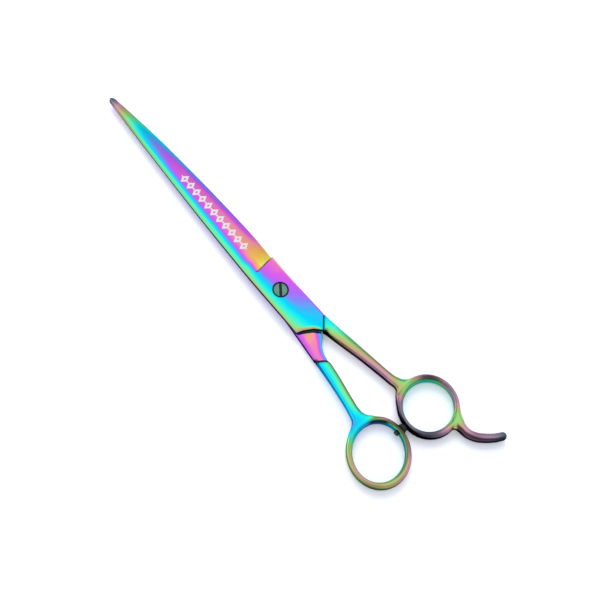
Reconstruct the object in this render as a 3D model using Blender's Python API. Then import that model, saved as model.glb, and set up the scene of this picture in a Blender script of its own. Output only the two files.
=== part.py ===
"""Thinning shears: a plain blade and a toothed blade crossed on one pivot screw.

All lengths below are millimetres; MM turns them into metres where a mesh is made.
The origin is on the pivot axis, in the plane the closed shears lie on. +X runs towards
the blade tips, +Y towards the thumb ring and +Z out of the screw's head. The toothed
rear blade and the thumb ring are the lower half; the plain front blade, the finger ring
and the finger rest are the upper half.
"""

import math

import bmesh
import bpy
import numpy as np

MM = 0.001

# Heights of the layers.
HANDLE_HEIGHT = 5.3
HANDLE_MIDDLE = HANDLE_HEIGHT / 2
REAR_TOP = 2.62
BLADE_GAP = 0.16
FRONT_BOTTOM = REAR_TOP + BLADE_GAP
FRONT_TOP = 5.35

# Blade outlines, as (x, y) along each edge.
BLADE_TIP = 102.2
TIP_ROUNDING = 2.2
STRAIGHT_FROM = -8.0
GRIND_START = 10.9
GRIND_RUN = 0.9
FRONT_EDGE = [(-8, -6.45), (0, -6.2), (10, -6.25), (20, -6.6), (40, -6.15), (60, -5.05),
              (80, -3.55), (90, -2.45), (98, -1.5), (104, -0.7)]
FRONT_SPINE = [(-8, 6.2), (0, 6.2), (10, 6.15), (20, 5.85), (40, 5.1), (60, 4.1),
               (80, 2.95), (90, 2.3), (98, 1.8), (104, 1.45)]
FRONT_SPINE_HEIGHT = [(12, 5.35), (60, 4.65), (90, 4.15), (104, 3.8)]
FRONT_BEVEL_HEIGHT = [(12, 3.7), (60, 3.55), (104, 3.3)]
EDGE_THICKNESS = 0.25
# Across a blade, 0 is its cutting side (front) or its spine (rear) and 1 the other side.
BEVEL_SHARE = 0.13
RIDGE_SHARE = 0.75
SPINE_FALL = 0.75
CORNER_BREAK = 0.35
SPINE_BREAK = 0.5
REAR_BACK_SHARE = 0.25
REAR_BACK_RISE = 0.5
FRONT_HEEL = [(0.0, -17.7, -6.75), (0.35, -22.5, -2.5), (0.62, -19.9, 0.1),
              (0.84, -18.0, 3.4), (1.0, -16.8, 6.3)]

REAR_TIP = 101.0
REAR_SPINE = [(-8, -6.1), (0, -5.9), (10, -5.95), (20, -6.25), (40, -5.8), (60, -4.7),
              (80, -3.2), (90, -2.1), (98, -1.15), (104, -0.4)]
REAR_TEETH = [(-8, 5.3), (0, 5.2), (8, 5.0), (13, 4.6), (20, 4.3), (40, 3.7), (60, 2.85),
              (80, 1.85), (90, 1.35), (98, 0.85), (104, 0.5)]
REAR_SPINE_HEIGHT = [(12, 0.0), (60, 0.7), (90, 1.15), (104, 1.4)]
REAR_BEVEL_HEIGHT = [(12, 1.5), (60, 1.6), (104, 1.9)]
TANG_RUNGS = [((-12, -6.2), (-10, 5.45)), ((-16.4, -6.3), (-13, 5.75)),
              ((-18.3, -5.5), (-15, 5.95)), ((-20.3, -3.7), (-17, 6.15)),
              ((-22.2, -2.0), (-19, 6.35)), ((-23.8, -1.2), (-21, 6.6)),
              ((-24.6, -0.5), (-22.5, 6.75)), ((-26.8, 1.7), (-25, 7.0)),
              ((-29.5, 2.9), (-27.3, 7.25)), ((-32.1, 3.5), (-29.4, 7.45))]

# Thinning teeth.
TOOTH_COUNT = 40
TOOTH_PITCH = 2.08
TOOTH_GAP = 0.92
FIRST_TOOTH = 15.2
TOOTH_LENGTH_SHARE = 0.56
NICK_WIDTH = 0.8
NICK_DEPTH = 0.35

# Joints between blades and handles.
SEAM_GAP = 0.08
FRONT_SEAM = ((-17.7, -6.75), (-22.5, -2.5))
REAR_SEAM = ((-32.1, 3.5), (-29.4, 7.45))
TONGUE_FIT = 0.05
FRONT_TONGUE = dict(start=(-18.6, -4.6), end=(-25.4, -5.75), width=1.9, low=3.35, high=4.75)
REAR_TONGUE = dict(start=(-28.6, 5.3), end=(-36.2, 6.75), width=2.4, low=0.75, high=1.95)

# Shanks as (x, lower y, upper y, half height, squareness of the section).
FRONT_SHANK = [(-15.5, -6.7, -2.2, 2.65, 7.0), (-20, -7.15, -2.3, 2.65, 7.0),
               (-22.6, -7.5, -2.5, 2.65, 6.0), (-23.4, -7.65, -2.9, 2.65, 5.5),
               (-26, -8.1, -3.4, 2.65, 4.0), (-30, -8.8, -4.2, 2.65, 3.2),
               (-35, -9.5, -5.35, 2.65, 3.0), (-40, -10.2, -6.5, 2.65, 2.8),
               (-45, -10.9, -7.45, 2.65, 2.7), (-50, -11.6, -8.35, 2.65, 2.6),
               (-54, -12.65, -9.0, 2.65, 2.6), (-56.2, -14.1, -9.4, 2.65, 2.6),
               (-57.6, -16.0, -9.0, 2.6, 2.6), (-58.8, -17.6, -8.0, 2.1, 2.4)]
REAR_SHANK = [(-27.5, 2.9, 7.2, 2.65, 7.0), (-31, 3.3, 7.6, 2.65, 6.0),
              (-35, 3.9, 8.1, 2.65, 4.5), (-40, 4.6, 8.75, 2.65, 3.5),
              (-45, 5.5, 9.5, 2.65, 3.0), (-50, 6.4, 10.35, 2.65, 2.8),
              (-54, 6.95, 11.3, 2.65, 2.6), (-56, 6.85, 12.0, 2.65, 2.6),
              (-57.8, 6.1, 14.0, 2.65, 2.6), (-59.4, 4.8, 16.4, 2.6, 2.5),
              (-60.6, 4.6, 17.6, 2.1, 2.4)]
SHANK_SIDES = 16

# Finger rings: a hole and an outer outline, each an ellipse of (half axis, half axis, tilt
# of the first axis), about one centre. A swell is (direction, height, spread) on the outside.
FRONT_RING = dict(centre=(-69.95, -14.45), hole=(9.7, 10.2, math.radians(9.0)),
                  outline=(11.95, 12.7, math.radians(70.0)), half_height=2.65,
                  swell=(math.radians(30.0), 0.7, math.radians(14.0)))
REAR_RING = dict(centre=(-71.52, 12.28), hole=(11.5, 10.0, math.radians(132.5)),
                 outline=(14.1, 12.3, math.radians(150.0)), half_height=2.6)
RING_STEPS = 56
RING_SIDES = 14
RING_SQUARENESS = 2.4

# Finger rest as (x, y, half width, half height).
FINGER_REST = [(-79.4, -19.0, 3.0, 2.2), (-81.5, -19.1, 2.5, 2.55), (-84.0, -18.9, 1.85, 2.6),
               (-87.2, -19.25, 1.7, 2.55), (-90.2, -20.8, 1.7, 2.5), (-92.9, -23.5, 1.7, 2.4),
               (-95.0, -26.4, 1.65, 2.3), (-96.3, -28.9, 1.6, 2.2)]
REST_SIDES = 14

# Pivot stack.
SCREW_SIDES = 48
THREAD_RADIUS = 1.5
THREAD_HOLE_RADIUS = 1.56
SHANK_RADIUS = 1.8
HEAD_RADIUS = 3.05
SLOT_WIDTH = 0.9
SLOT_FLOOR = 4.95
SLOT_ANGLE = math.radians(-40.5)
COUNTERBORE_RADIUS = 3.2
COUNTERBORE_FLOOR = 3.8
BUSH_HOLE_RADIUS = 2.6
WASHER_RECESS_RADIUS = 4.55
WASHER_RECESS_FLOOR = 2.27

# Bumper on the thumb ring.
BUMPER_X = -70.0
BUMPER_HOLE_RADIUS = 0.9
BUMPER_SIDES = 24

STEEL_FINISH = dict(roughness=0.22, metallic=1.0)


def clear_scene():
    for item in list(bpy.data.objects):
        bpy.data.objects.remove(item, do_unlink=True)


def material(name, colour, roughness, metallic):
    made = bpy.data.materials.new(name)
    made.use_nodes = True
    shader = made.node_tree.nodes["Principled BSDF"]
    shader.inputs["Base Color"].default_value = (*colour, 1.0)
    shader.inputs["Roughness"].default_value = roughness
    shader.inputs["Metallic"].default_value = metallic
    return made


def new_object(name, points, faces):
    """A mesh object from points in millimetres and faces, with its normals outwards.

    Four-sided faces may be bent, so they are split into flat triangles.
    """
    mesh = bpy.data.meshes.new(name)
    mesh.from_pydata([tuple(MM * value for value in point) for point in points], [], faces)
    shape = bmesh.new()
    shape.from_mesh(mesh)
    bmesh.ops.remove_doubles(shape, verts=shape.verts, dist=MM * 1e-4)
    bent = [face for face in shape.faces if len(face.verts) == 4]
    bmesh.ops.triangulate(shape, faces=bent)
    bmesh.ops.recalc_face_normals(shape, faces=shape.faces)
    shape.to_mesh(mesh)
    shape.free()
    made = bpy.data.objects.new(name, mesh)
    bpy.context.collection.objects.link(made)
    return made


def finish(part, parent, colour, roughness, metallic):
    """Give a sub-part its material, its smooth shading and its place in the assembly."""
    part.data.materials.append(material(part.name, colour, roughness, metallic))
    part.data.shade_smooth()
    part.data.set_sharp_from_angle(angle=math.radians(35.0))
    part.parent = parent
    return part


def combine(target, other, operation):
    """A Boolean of two objects; the second one stays behind as a hidden guide."""
    step = target.modifiers.new(other.name, "BOOLEAN")
    step.operation = operation
    step.solver = "EXACT"
    step.object = other
    other.hide_render = True
    other.display_type = "WIRE"


def box(name, centre, size, angle=0.0):
    """A box whose length axis is turned by angle about +Z."""
    turn = (math.cos(angle), math.sin(angle))
    points = []
    for dz in (-0.5, 0.5):
        for dx, dy in ((-0.5, -0.5), (0.5, -0.5), (0.5, 0.5), (-0.5, 0.5)):
            along = dx * size[0]
            across = dy * size[1]
            points.append((centre[0] + along * turn[0] - across * turn[1],
                           centre[1] + along * turn[1] + across * turn[0],
                           centre[2] + dz * size[2]))
    faces = [(0, 3, 2, 1), (4, 5, 6, 7), (0, 1, 5, 4), (1, 2, 6, 5), (2, 3, 7, 6), (3, 0, 4, 7)]
    return new_object(name, points, faces)


def prism(name, outline, low, high):
    """A straight-sided solid between two heights."""
    count = len(outline)
    points = [(x, y, low) for x, y in outline] + [(x, y, high) for x, y in outline]
    faces = [tuple(reversed(range(count))), tuple(range(count, 2 * count))]
    faces += [(i, (i + 1) % count, count + (i + 1) % count, count + i) for i in range(count)]
    return new_object(name, points, faces)


def disc(name, centre, radius, low, high, sides=SCREW_SIDES):
    turns = [2 * math.pi * i / sides for i in range(sides)]
    outline = [(centre[0] + radius * math.cos(a), centre[1] + radius * math.sin(a)) for a in turns]
    return prism(name, outline, low, high)


def turned(name, profile, sides=SCREW_SIDES, capped=False):
    """Turn a profile of (radius, height) about +Z: a closed loop, or an open run with end caps."""
    count = len(profile)
    points = []
    faces = []
    for step in range(sides):
        angle = 2 * math.pi * step / sides
        points += [(r * math.cos(angle), r * math.sin(angle), z) for r, z in profile]
        here = step * count
        there = ((step + 1) % sides) * count
        faces += [(here + i, there + i, there + (i + 1) % count, here + (i + 1) % count)
                  for i in range(count - 1 if capped else count)]
    if capped:
        faces.append(tuple(step * count for step in reversed(range(sides))))
        faces.append(tuple(step * count + count - 1 for step in range(sides)))
    return new_object(name, points, faces)


def curve_value(knots, x):
    """A smooth curve through knots of (x, value), with the slopes of its neighbours."""
    xs = np.array([knot[0] for knot in knots], float)
    ys = np.array([knot[1] for knot in knots], float)
    slopes = np.gradient(ys, xs)
    i = int(np.clip(np.searchsorted(xs, x) - 1, 0, len(xs) - 2))
    span = xs[i + 1] - xs[i]
    t = min(max((x - xs[i]) / span, 0.0), 1.0)
    return ((2 * t**3 - 3 * t**2 + 1) * ys[i] + (t**3 - 2 * t**2 + t) * span * slopes[i]
            + (3 * t**2 - 2 * t**3) * ys[i + 1] + (t**3 - t**2) * span * slopes[i + 1])


def smooth_step(value, start, end):
    t = min(max((value - start) / (end - start), 0.0), 1.0)
    return t * t * (3 - 2 * t)


def blade_rung(x, low_knots, high_knots, fractions, tip):
    """Points straight across a blade at x, with the width rounded off at the tip."""
    low = curve_value(low_knots, x)
    high = curve_value(high_knots, x)
    past = max(x - (tip - TIP_ROUNDING), 0.0) / TIP_ROUNDING
    width_left = math.sqrt(max(1.0 - past * past, 0.012))
    middle = (low + high) / 2
    half = (high - low) / 2 * width_left
    return [(x, middle + half * (2 * t - 1)) for t in fractions]


def plate(name, rungs, tops, bottoms):
    """A solid between two height grids that share their places in plan."""
    rows = len(rungs)
    columns = len(rungs[0])
    points = [(x, y, tops[i][j]) for i, rung in enumerate(rungs) for j, (x, y) in enumerate(rung)]
    points += [(x, y, bottoms[i][j]) for i, rung in enumerate(rungs)
               for j, (x, y) in enumerate(rung)]
    lower = rows * columns
    faces = []
    for i in range(rows - 1):
        for j in range(columns - 1):
            a = i * columns + j
            quad = (a, a + columns, a + columns + 1, a + 1)
            faces.append(quad)
            faces.append(tuple(lower + k for k in reversed(quad)))
    border = list(range(columns))
    border += [i * columns + columns - 1 for i in range(1, rows)]
    border += [(rows - 1) * columns + j for j in range(columns - 2, -1, -1)]
    border += [i * columns for i in range(rows - 2, 0, -1)]
    for a, b in zip(border, border[1:] + border[:1]):
        faces.append((a, b, lower + b, lower + a))
    return new_object(name, points, faces)


def blade_stations(tip):
    """Places along a blade, closer together at the grind's start and at the tip."""
    even = [20.0 + 10.0 * i for i in range(8)]
    rounded = [tip - TIP_ROUNDING * (1 - s) for s in (0.0, 0.4, 0.7, 0.9, 1.0)]
    return [STRAIGHT_FROM, 0.0, GRIND_START, GRIND_START + GRIND_RUN, 15.0] + even + rounded


def front_height(x, t, end):
    """Top of the front blade: flat at the pivot, ground from the spine to the edge."""
    flat = FRONT_TOP - SPINE_BREAK * smooth_step(t, 0.93, 1.0)
    flat -= CORNER_BREAK * (1 - smooth_step(t, 0.0, 0.05)) + CORNER_BREAK * end
    spine = curve_value(FRONT_SPINE_HEIGHT, max(x, 12.0))
    bevel = curve_value(FRONT_BEVEL_HEIGHT, max(x, 12.0))
    edge = FRONT_BOTTOM + EDGE_THICKNESS
    if t < BEVEL_SHARE:
        ground = edge + (bevel - edge) * t / BEVEL_SHARE
    elif t < RIDGE_SHARE:
        rise = (t - BEVEL_SHARE) / (RIDGE_SHARE - BEVEL_SHARE)
        ground = bevel + (spine - bevel) * (1 - (1 - rise) ** 1.8)
    else:
        ground = spine - SPINE_FALL * ((t - RIDGE_SHARE) / (1 - RIDGE_SHARE)) ** 2
    blend = smooth_step(x, GRIND_START, GRIND_START + GRIND_RUN)
    return flat + (ground - flat) * blend


def rear_height(x, t):
    """Underside of the rear blade: flat at the pivot, ground up towards its teeth."""
    spine = curve_value(REAR_SPINE_HEIGHT, max(x, 12.0))
    bevel = curve_value(REAR_BEVEL_HEIGHT, max(x, 12.0))
    if t < REAR_BACK_SHARE:
        ground = spine + REAR_BACK_RISE * (1 - t / REAR_BACK_SHARE) ** 2
    else:
        ground = spine + (bevel - spine) * ((t - REAR_BACK_SHARE) / (1 - REAR_BACK_SHARE)) ** 1.6
    blend = smooth_step(x, GRIND_START, GRIND_START + GRIND_RUN)
    return ground * blend


def mix_rungs(first, last, share):
    return [(a[0] + (b[0] - a[0]) * share, a[1] + (b[1] - a[1]) * share)
            for a, b in zip(first, last)]


def tongue(name, start, end, width, low, high, grow=0.0):
    """A flat tongue from start to end; grow widens it into the slot it sits in."""
    run = math.dist(start, end)
    angle = math.atan2(end[1] - start[1], end[0] - start[0])
    middle = ((start[0] + end[0]) / 2, (start[1] + end[1]) / 2, (low + high) / 2)
    return box(name, middle, (run + 2 * grow, width + 2 * grow, high - low + 2 * grow), angle)


def make_front_blade(parent):
    fractions = [0.0, 0.05, 0.13, 0.24, 0.35, 0.48, 0.62, 0.75, 0.84, 0.93, 1.0]
    straight = [blade_rung(x, FRONT_EDGE, FRONT_SPINE, fractions, BLADE_TIP)
                for x in blade_stations(BLADE_TIP)]
    knots = list(zip(*FRONT_HEEL))
    heel = [(np.interp(t, knots[0], knots[1]), np.interp(t, knots[0], knots[2]))
            for t in fractions]
    shares = [1.0, 0.96, 0.8, 0.4]
    rungs = [mix_rungs(straight[0], heel, share) for share in shares] + straight
    ends = [1.0] + [0.0] * (len(rungs) - 1)
    tops = [[front_height(rung[j][0], t, end) for j, t in enumerate(fractions)]
            for rung, end in zip(rungs, ends)]
    bottoms = [[FRONT_BOTTOM] * len(fractions) for _ in rungs]
    blade = plate("front_blade", rungs, tops, bottoms)
    combine(blade, tongue("front_tongue", **FRONT_TONGUE), "UNION")
    hole = disc("front_bush_hole", (0, 0), BUSH_HOLE_RADIUS, 1.5, 7.0)
    counterbore = disc("front_counterbore", (0, 0), COUNTERBORE_RADIUS, COUNTERBORE_FLOOR, 7.0)
    combine(blade, hole, "DIFFERENCE")
    combine(blade, counterbore, "DIFFERENCE")
    return finish(blade, parent, (0.16, 0.42, 0.62), **STEEL_FINISH)


def tooth_slots():
    """Open slots between the teeth, with round roots, and a nick in each tooth's end."""
    root_steps = 5
    reach = 3.0
    points = []
    faces = []
    for tooth in range(TOOTH_COUNT):
        x = FIRST_TOOTH + TOOTH_PITCH * tooth
        tip_y = curve_value(REAR_TEETH, x)
        root_y = tip_y - TOOTH_LENGTH_SHARE * (tip_y - curve_value(REAR_SPINE, x))
        radius = TOOTH_GAP / 2
        slot = [(x + radius, tip_y + reach), (x - radius, tip_y + reach)]
        turns = [math.pi * (1 + i / root_steps) for i in range(root_steps + 1)]
        slot += [(x + radius * math.cos(a), root_y + radius + radius * math.sin(a))
                 for a in turns]
        middle = x + TOOTH_PITCH / 2
        nick_y = curve_value(REAR_TEETH, middle)
        nick = [(middle, nick_y - NICK_DEPTH), (middle + NICK_WIDTH / 2, nick_y + NICK_DEPTH),
                (middle - NICK_WIDTH / 2, nick_y + NICK_DEPTH)]
        outlines = [slot] if tooth == TOOTH_COUNT - 1 else [slot, nick]
        for outline in outlines:
            start = len(points)
            count = len(outline)
            points += [(px, py, -1.0) for px, py in outline]
            points += [(px, py, 4.0) for px, py in outline]
            faces.append(tuple(start + i for i in reversed(range(count))))
            faces.append(tuple(start + count + i for i in range(count)))
            faces += [(start + i, start + (i + 1) % count, start + count + (i + 1) % count,
                       start + count + i) for i in range(count)]
    return new_object("tooth_slots", points, faces)


def make_rear_blade(parent):
    fractions = [0.0, 0.06, 0.14, 0.25, 0.42, 0.6, 0.8, 1.0]
    straight = [blade_rung(x, REAR_SPINE, REAR_TEETH, fractions, REAR_TIP)
                for x in blade_stations(REAR_TIP)]
    tang = [[(low[0] + (high[0] - low[0]) * t, low[1] + (high[1] - low[1]) * t)
             for t in fractions] for low, high in reversed(TANG_RUNGS)]
    rungs = tang + straight
    bottoms = [[rear_height(x, t) for (x, _), t in zip(rung, fractions)] for rung in rungs]
    tops = [[REAR_TOP] * len(fractions) for _ in rungs]
    blade = plate("rear_blade", rungs, tops, bottoms)
    combine(blade, tongue("rear_tongue", **REAR_TONGUE), "UNION")
    combine(blade, tooth_slots(), "DIFFERENCE")
    combine(blade, disc("thread_hole", (0, 0), THREAD_HOLE_RADIUS, -1.0, 4.0), "DIFFERENCE")
    recess = disc("washer_recess", (0, 0), WASHER_RECESS_RADIUS, WASHER_RECESS_FLOOR, 4.0)
    combine(blade, recess, "DIFFERENCE")
    return finish(blade, parent, (0.62, 0.28, 0.55), **STEEL_FINISH)


def section(centre, side, half_width, half_height, squareness, sides):
    """A rounded loop in the plane of side and +Z; squareness 2 is an ellipse."""
    loop = []
    for i in range(sides):
        angle = 2 * math.pi * (i + 0.5) / sides
        c = math.cos(angle)
        s = math.sin(angle)
        across = half_width * math.copysign(abs(c) ** (2 / squareness), c)
        up = half_height * math.copysign(abs(s) ** (2 / squareness), s)
        loop.append((centre[0] + side[0] * across, centre[1] + side[1] * across,
                     centre[2] + up))
    return loop


def loft(name, loops, closed=False):
    """Skin over loops of equal size: a closed ring, or an open run with end caps."""
    count = len(loops[0])
    points = [point for loop in loops for point in loop]
    faces = []
    for i in range(len(loops) if closed else len(loops) - 1):
        here = i * count
        there = ((i + 1) % len(loops)) * count
        faces += [(here + j, here + (j + 1) % count, there + (j + 1) % count, there + j)
                  for j in range(count)]
    if not closed:
        faces.append(tuple(reversed(range(count))))
        faces.append(tuple(range((len(loops) - 1) * count, len(loops) * count)))
    return new_object(name, points, faces)


def shank(name, stations):
    loops = [section((x, (low + high) / 2, HANDLE_MIDDLE), (0, 1), (high - low) / 2, half_height,
                     squareness, SHANK_SIDES)
             for x, low, high, half_height, squareness in stations]
    return loft(name, loops)


def ellipse_radius(direction, ellipse):
    """How far an ellipse's outline is from its centre in one direction."""
    first, second, tilt = ellipse
    return 1.0 / math.hypot(math.cos(direction - tilt) / first,
                            math.sin(direction - tilt) / second)


def finger_ring(name, centre, hole, outline, half_height, swell=(0.0, 0.0, 1.0)):
    """A wire of rounded section between the outlines of a hole and of a ring."""
    loops = []
    for step in range(RING_STEPS):
        angle = 2 * math.pi * step / RING_STEPS
        away = math.remainder(angle - swell[0], 2 * math.pi) / swell[2]
        inner = ellipse_radius(angle, hole)
        outer = ellipse_radius(angle, outline) + swell[1] * math.exp(-away * away)
        side = (math.cos(angle), math.sin(angle))
        middle = (inner + outer) / 2
        place = (centre[0] + side[0] * middle, centre[1] + side[1] * middle, HANDLE_MIDDLE)
        loops.append(section(place, side, (outer - inner) / 2, half_height, RING_SQUARENESS,
                             RING_SIDES))
    return loft(name, loops, closed=True)


def finger_rest(name):
    """The curved horn behind the finger ring, rounded off at its free end."""
    path = [np.array(knot) for knot in FINGER_REST]
    dense = []
    for i in range(len(path) - 1):
        before = path[max(i - 1, 0)]
        after = path[min(i + 2, len(path) - 1)]
        for t in (0.0, 0.5):
            a = path[i] * (2 * t**3 - 3 * t**2 + 1) + path[i + 1] * (3 * t**2 - 2 * t**3)
            b = (path[i + 1] - before) * 0.5 * (t**3 - 2 * t**2 + t)
            c = (after - path[i]) * 0.5 * (t**3 - t**2)
            dense.append(a + b + c)
    dense.append(path[-1])
    last = (path[-1] - path[-2])[:2]
    last = last / np.hypot(*last)
    for share in (0.5, 0.85, 0.98):
        shrink = math.sqrt(1 - share * share)
        place = path[-1][:2] + last * share * path[-1][2]
        dense.append(np.array([*place, path[-1][2] * shrink, path[-1][3] * shrink]))
    loops = []
    for i, (x, y, half_width, half_height) in enumerate(dense):
        run = dense[min(i + 1, len(dense) - 1)][:2] - dense[max(i - 1, 0)][:2]
        run = run / np.hypot(*run)
        loops.append(section((x, y, HANDLE_MIDDLE), (-run[1], run[0]), half_width, half_height,
                             2.2, REST_SIDES))
    return loft(name, loops)


def beyond_seam(name, seam, gap):
    """A block that fills the blade's side of a seam, up to the gap from the seam's line."""
    (x0, y0), (x1, y1) = seam
    length = math.hypot(x1 - x0, y1 - y0)
    along = ((x1 - x0) / length, (y1 - y0) / length)
    away = (along[1], -along[0])
    if away[0] < 0:
        away = (-away[0], -away[1])
    size = 30.0
    middle = ((x0 + x1) / 2 + away[0] * (size / 2 - gap), (y0 + y1) / 2 + away[1] * (size / 2 - gap),
              HANDLE_MIDDLE)
    return box(name, middle, (size, size, size), math.atan2(away[1], away[0]))


def make_front_handle(parent):
    handle = shank("front_handle", FRONT_SHANK)
    combine(handle, finger_ring("front_ring", **FRONT_RING), "UNION")
    combine(handle, finger_rest("rest_horn"), "UNION")
    combine(handle, beyond_seam("front_seam_cut", FRONT_SEAM, SEAM_GAP), "DIFFERENCE")
    combine(handle, tongue("front_slot", **FRONT_TONGUE, grow=TONGUE_FIT), "DIFFERENCE")
    return finish(handle, parent, (0.45, 0.62, 0.35), **STEEL_FINISH)


def make_rear_handle(parent):
    handle = shank("rear_handle", REAR_SHANK)
    combine(handle, finger_ring("rear_ring", **REAR_RING), "UNION")
    combine(handle, beyond_seam("rear_seam_cut", REAR_SEAM, SEAM_GAP), "DIFFERENCE")
    combine(handle, tongue("rear_slot", **REAR_TONGUE, grow=TONGUE_FIT), "DIFFERENCE")
    bore = disc("bumper_hole", (0, 0), BUMPER_HOLE_RADIUS, -3.0, 5.0, BUMPER_SIDES)
    bore.rotation_euler = (math.radians(-90.0), 0.0, 0.0)
    bore.location = (MM * BUMPER_X, 0.0, MM * HANDLE_MIDDLE)
    combine(handle, bore, "DIFFERENCE")
    return finish(handle, parent, (0.18, 0.66, 0.72), **STEEL_FINISH)


def make_pivot_screw(parent):
    """Slotted screw: thread in the rear blade, plain shank in the bush, broad low head."""
    profile = [(1.38, 0), (THREAD_RADIUS, 0.12), (THREAD_RADIUS, 2.32), (SHANK_RADIUS, 2.32),
               (SHANK_RADIUS, 4.45), (2.85, 4.45), (HEAD_RADIUS, 4.62), (HEAD_RADIUS, 5.2),
               (2.8, 5.42), (1.6, 5.52), (0.8, 5.55)]
    screw = turned("pivot_screw", profile, capped=True)
    slot = box("screw_slot", (0, 0, SLOT_FLOOR + 2.0), (9.0, SLOT_WIDTH, 4.0), SLOT_ANGLE)
    combine(screw, slot, "DIFFERENCE")
    return finish(screw, parent, (0.50, 0.56, 0.50), 0.25, 1.0)


def make_tension_washer(parent):
    profile = [(1.9, 4.27), (2.9, 4.15), (2.9, 4.29), (1.9, 4.41)]
    washer = turned("tension_washer", profile)
    return finish(washer, parent, (0.60, 0.60, 0.62), 0.3, 1.0)


def make_pivot_bushing(parent):
    profile = [(1.85, 2.84), (2.54, 2.84), (2.54, 3.86), (3.05, 3.86), (3.05, 4.1), (1.85, 4.1)]
    bushing = turned("pivot_bushing", profile)
    return finish(bushing, parent, (0.85, 0.84, 0.80), 0.5, 0.0)


def make_glide_washer(parent):
    profile = [(2.1, 2.32), (4.48, 2.32), (4.48, 2.73), (2.1, 2.73)]
    washer = turned("glide_washer", profile)
    return finish(washer, parent, (0.88, 0.88, 0.84), 0.5, 0.0)


def make_bumper(parent):
    """Rubber stop: a cone between the rings, a stem through the wire and a small bulb."""
    profile = [(1.3, -2.36), (1.55, -2.2), (1.95, -0.75), (1.85, -0.56), (0.84, -0.56),
               (0.84, 1.85), (1.15, 1.9), (1.1, 2.4), (0.6, 2.65), (0.3, 2.7)]
    bumper = turned("bumper", profile, BUMPER_SIDES, capped=True)
    bumper.rotation_euler = (math.radians(-90.0), 0.0, 0.0)
    bumper.location = (MM * BUMPER_X, 0.0, MM * HANDLE_MIDDLE)
    return finish(bumper, parent, (0.02, 0.02, 0.022), 0.6, 0.0)


def axis_empty(name, parent=None):
    """An empty on the pivot axis that carries one moving half."""
    made = bpy.data.objects.new(name, None)
    made.empty_display_size = 10 * MM
    bpy.context.collection.objects.link(made)
    made.parent = parent
    return made


def main():
    clear_scene()
    rear_half = axis_empty("rear_half")
    front_half = axis_empty("front_half", rear_half)
    screw_axis = axis_empty("screw_axis", rear_half)
    make_rear_blade(rear_half)
    make_rear_handle(rear_half)
    make_glide_washer(rear_half)
    make_bumper(rear_half)
    make_front_blade(front_half)
    make_front_handle(front_half)
    make_pivot_bushing(front_half)
    make_pivot_screw(screw_axis)
    make_tension_washer(screw_axis)


main()
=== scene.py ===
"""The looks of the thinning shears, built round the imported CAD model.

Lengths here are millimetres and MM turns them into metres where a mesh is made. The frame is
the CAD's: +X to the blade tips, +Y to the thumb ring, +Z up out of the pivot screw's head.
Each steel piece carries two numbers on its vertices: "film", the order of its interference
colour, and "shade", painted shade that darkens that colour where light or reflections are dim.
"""

import math
from types import SimpleNamespace

import bmesh
import bpy
import numpy as np
from mathutils import Matrix, Vector


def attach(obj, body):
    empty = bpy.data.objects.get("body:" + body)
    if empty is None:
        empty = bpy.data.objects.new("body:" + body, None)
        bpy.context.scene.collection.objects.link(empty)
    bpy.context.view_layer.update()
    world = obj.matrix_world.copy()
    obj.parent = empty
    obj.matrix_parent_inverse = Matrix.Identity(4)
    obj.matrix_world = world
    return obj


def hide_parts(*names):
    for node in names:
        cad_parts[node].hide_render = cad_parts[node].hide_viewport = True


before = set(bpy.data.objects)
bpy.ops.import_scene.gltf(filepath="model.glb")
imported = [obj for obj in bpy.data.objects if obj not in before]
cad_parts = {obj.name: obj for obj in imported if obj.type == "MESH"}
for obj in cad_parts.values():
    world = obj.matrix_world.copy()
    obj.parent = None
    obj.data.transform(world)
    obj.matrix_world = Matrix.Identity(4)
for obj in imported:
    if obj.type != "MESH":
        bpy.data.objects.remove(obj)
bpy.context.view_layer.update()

MM = 0.001

# Heights of the layers, the same as the CAD's.
MIDDLE = 2.65
REAR_TOP = 2.62
FRONT_BOTTOM = 2.78
FRONT_TOP = 5.35

# Blade outlines, the same as the CAD's but for a blunter tip, longer on the front blade.
BLADE_TIP = 102.6
REAR_TIP = 101.0
TIP_ROUNDING = 1.6
STRAIGHT_FROM = -8.0
FRONT_EDGE = [
    (-8, -6.45), (0, -6.2), (10, -6.25), (20, -6.6), (40, -6.15), (60, -5.05), (80, -3.55), (90, -2.45),
    (98, -1.5), (104, -0.7)
]
FRONT_SPINE = [
    (-8, 6.2), (0, 6.2), (10, 6.15), (20, 5.85), (40, 5.1), (60, 4.1), (80, 2.95), (90, 2.3), (98, 1.8),
    (104, 1.45)
]
FRONT_SPINE_HEIGHT = [(12, 5.35), (60, 4.65), (90, 4.15), (104, 3.8)]
FRONT_BEVEL_HEIGHT = [(12, 3.7), (60, 3.55), (104, 3.3)]
EDGE_THICKNESS = 0.25
BEVEL_SHARE = 0.13
RIDGE_SHARE = 0.75
FRONT_HEEL = [
    (0.0, -17.7, -6.75), (0.35, -22.5, -2.5), (0.62, -19.9, 0.1), (0.84, -18.0, 3.4), (1.0, -16.8, 6.3)
]
REAR_SPINE = [
    (-8, -6.1), (0, -5.9), (10, -5.95), (20, -6.25), (40, -5.8), (60, -4.7), (80, -3.2), (90, -2.1),
    (98, -1.15), (104, -0.4)
]
REAR_TEETH = [
    (-8, 5.3), (0, 5.2), (8, 5.0), (13, 4.6), (20, 4.3), (40, 3.7), (60, 2.85), (80, 1.85), (90, 1.35),
    (98, 0.85), (104, 0.5)
]
REAR_SPINE_HEIGHT = [(12, 0.0), (60, 0.7), (90, 1.15), (104, 1.4)]
REAR_BEVEL_HEIGHT = [(12, 1.5), (60, 1.6), (104, 1.9)]
GRIND_FROM = 12.0
REAR_RIDGE_SHARE = 0.25
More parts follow.
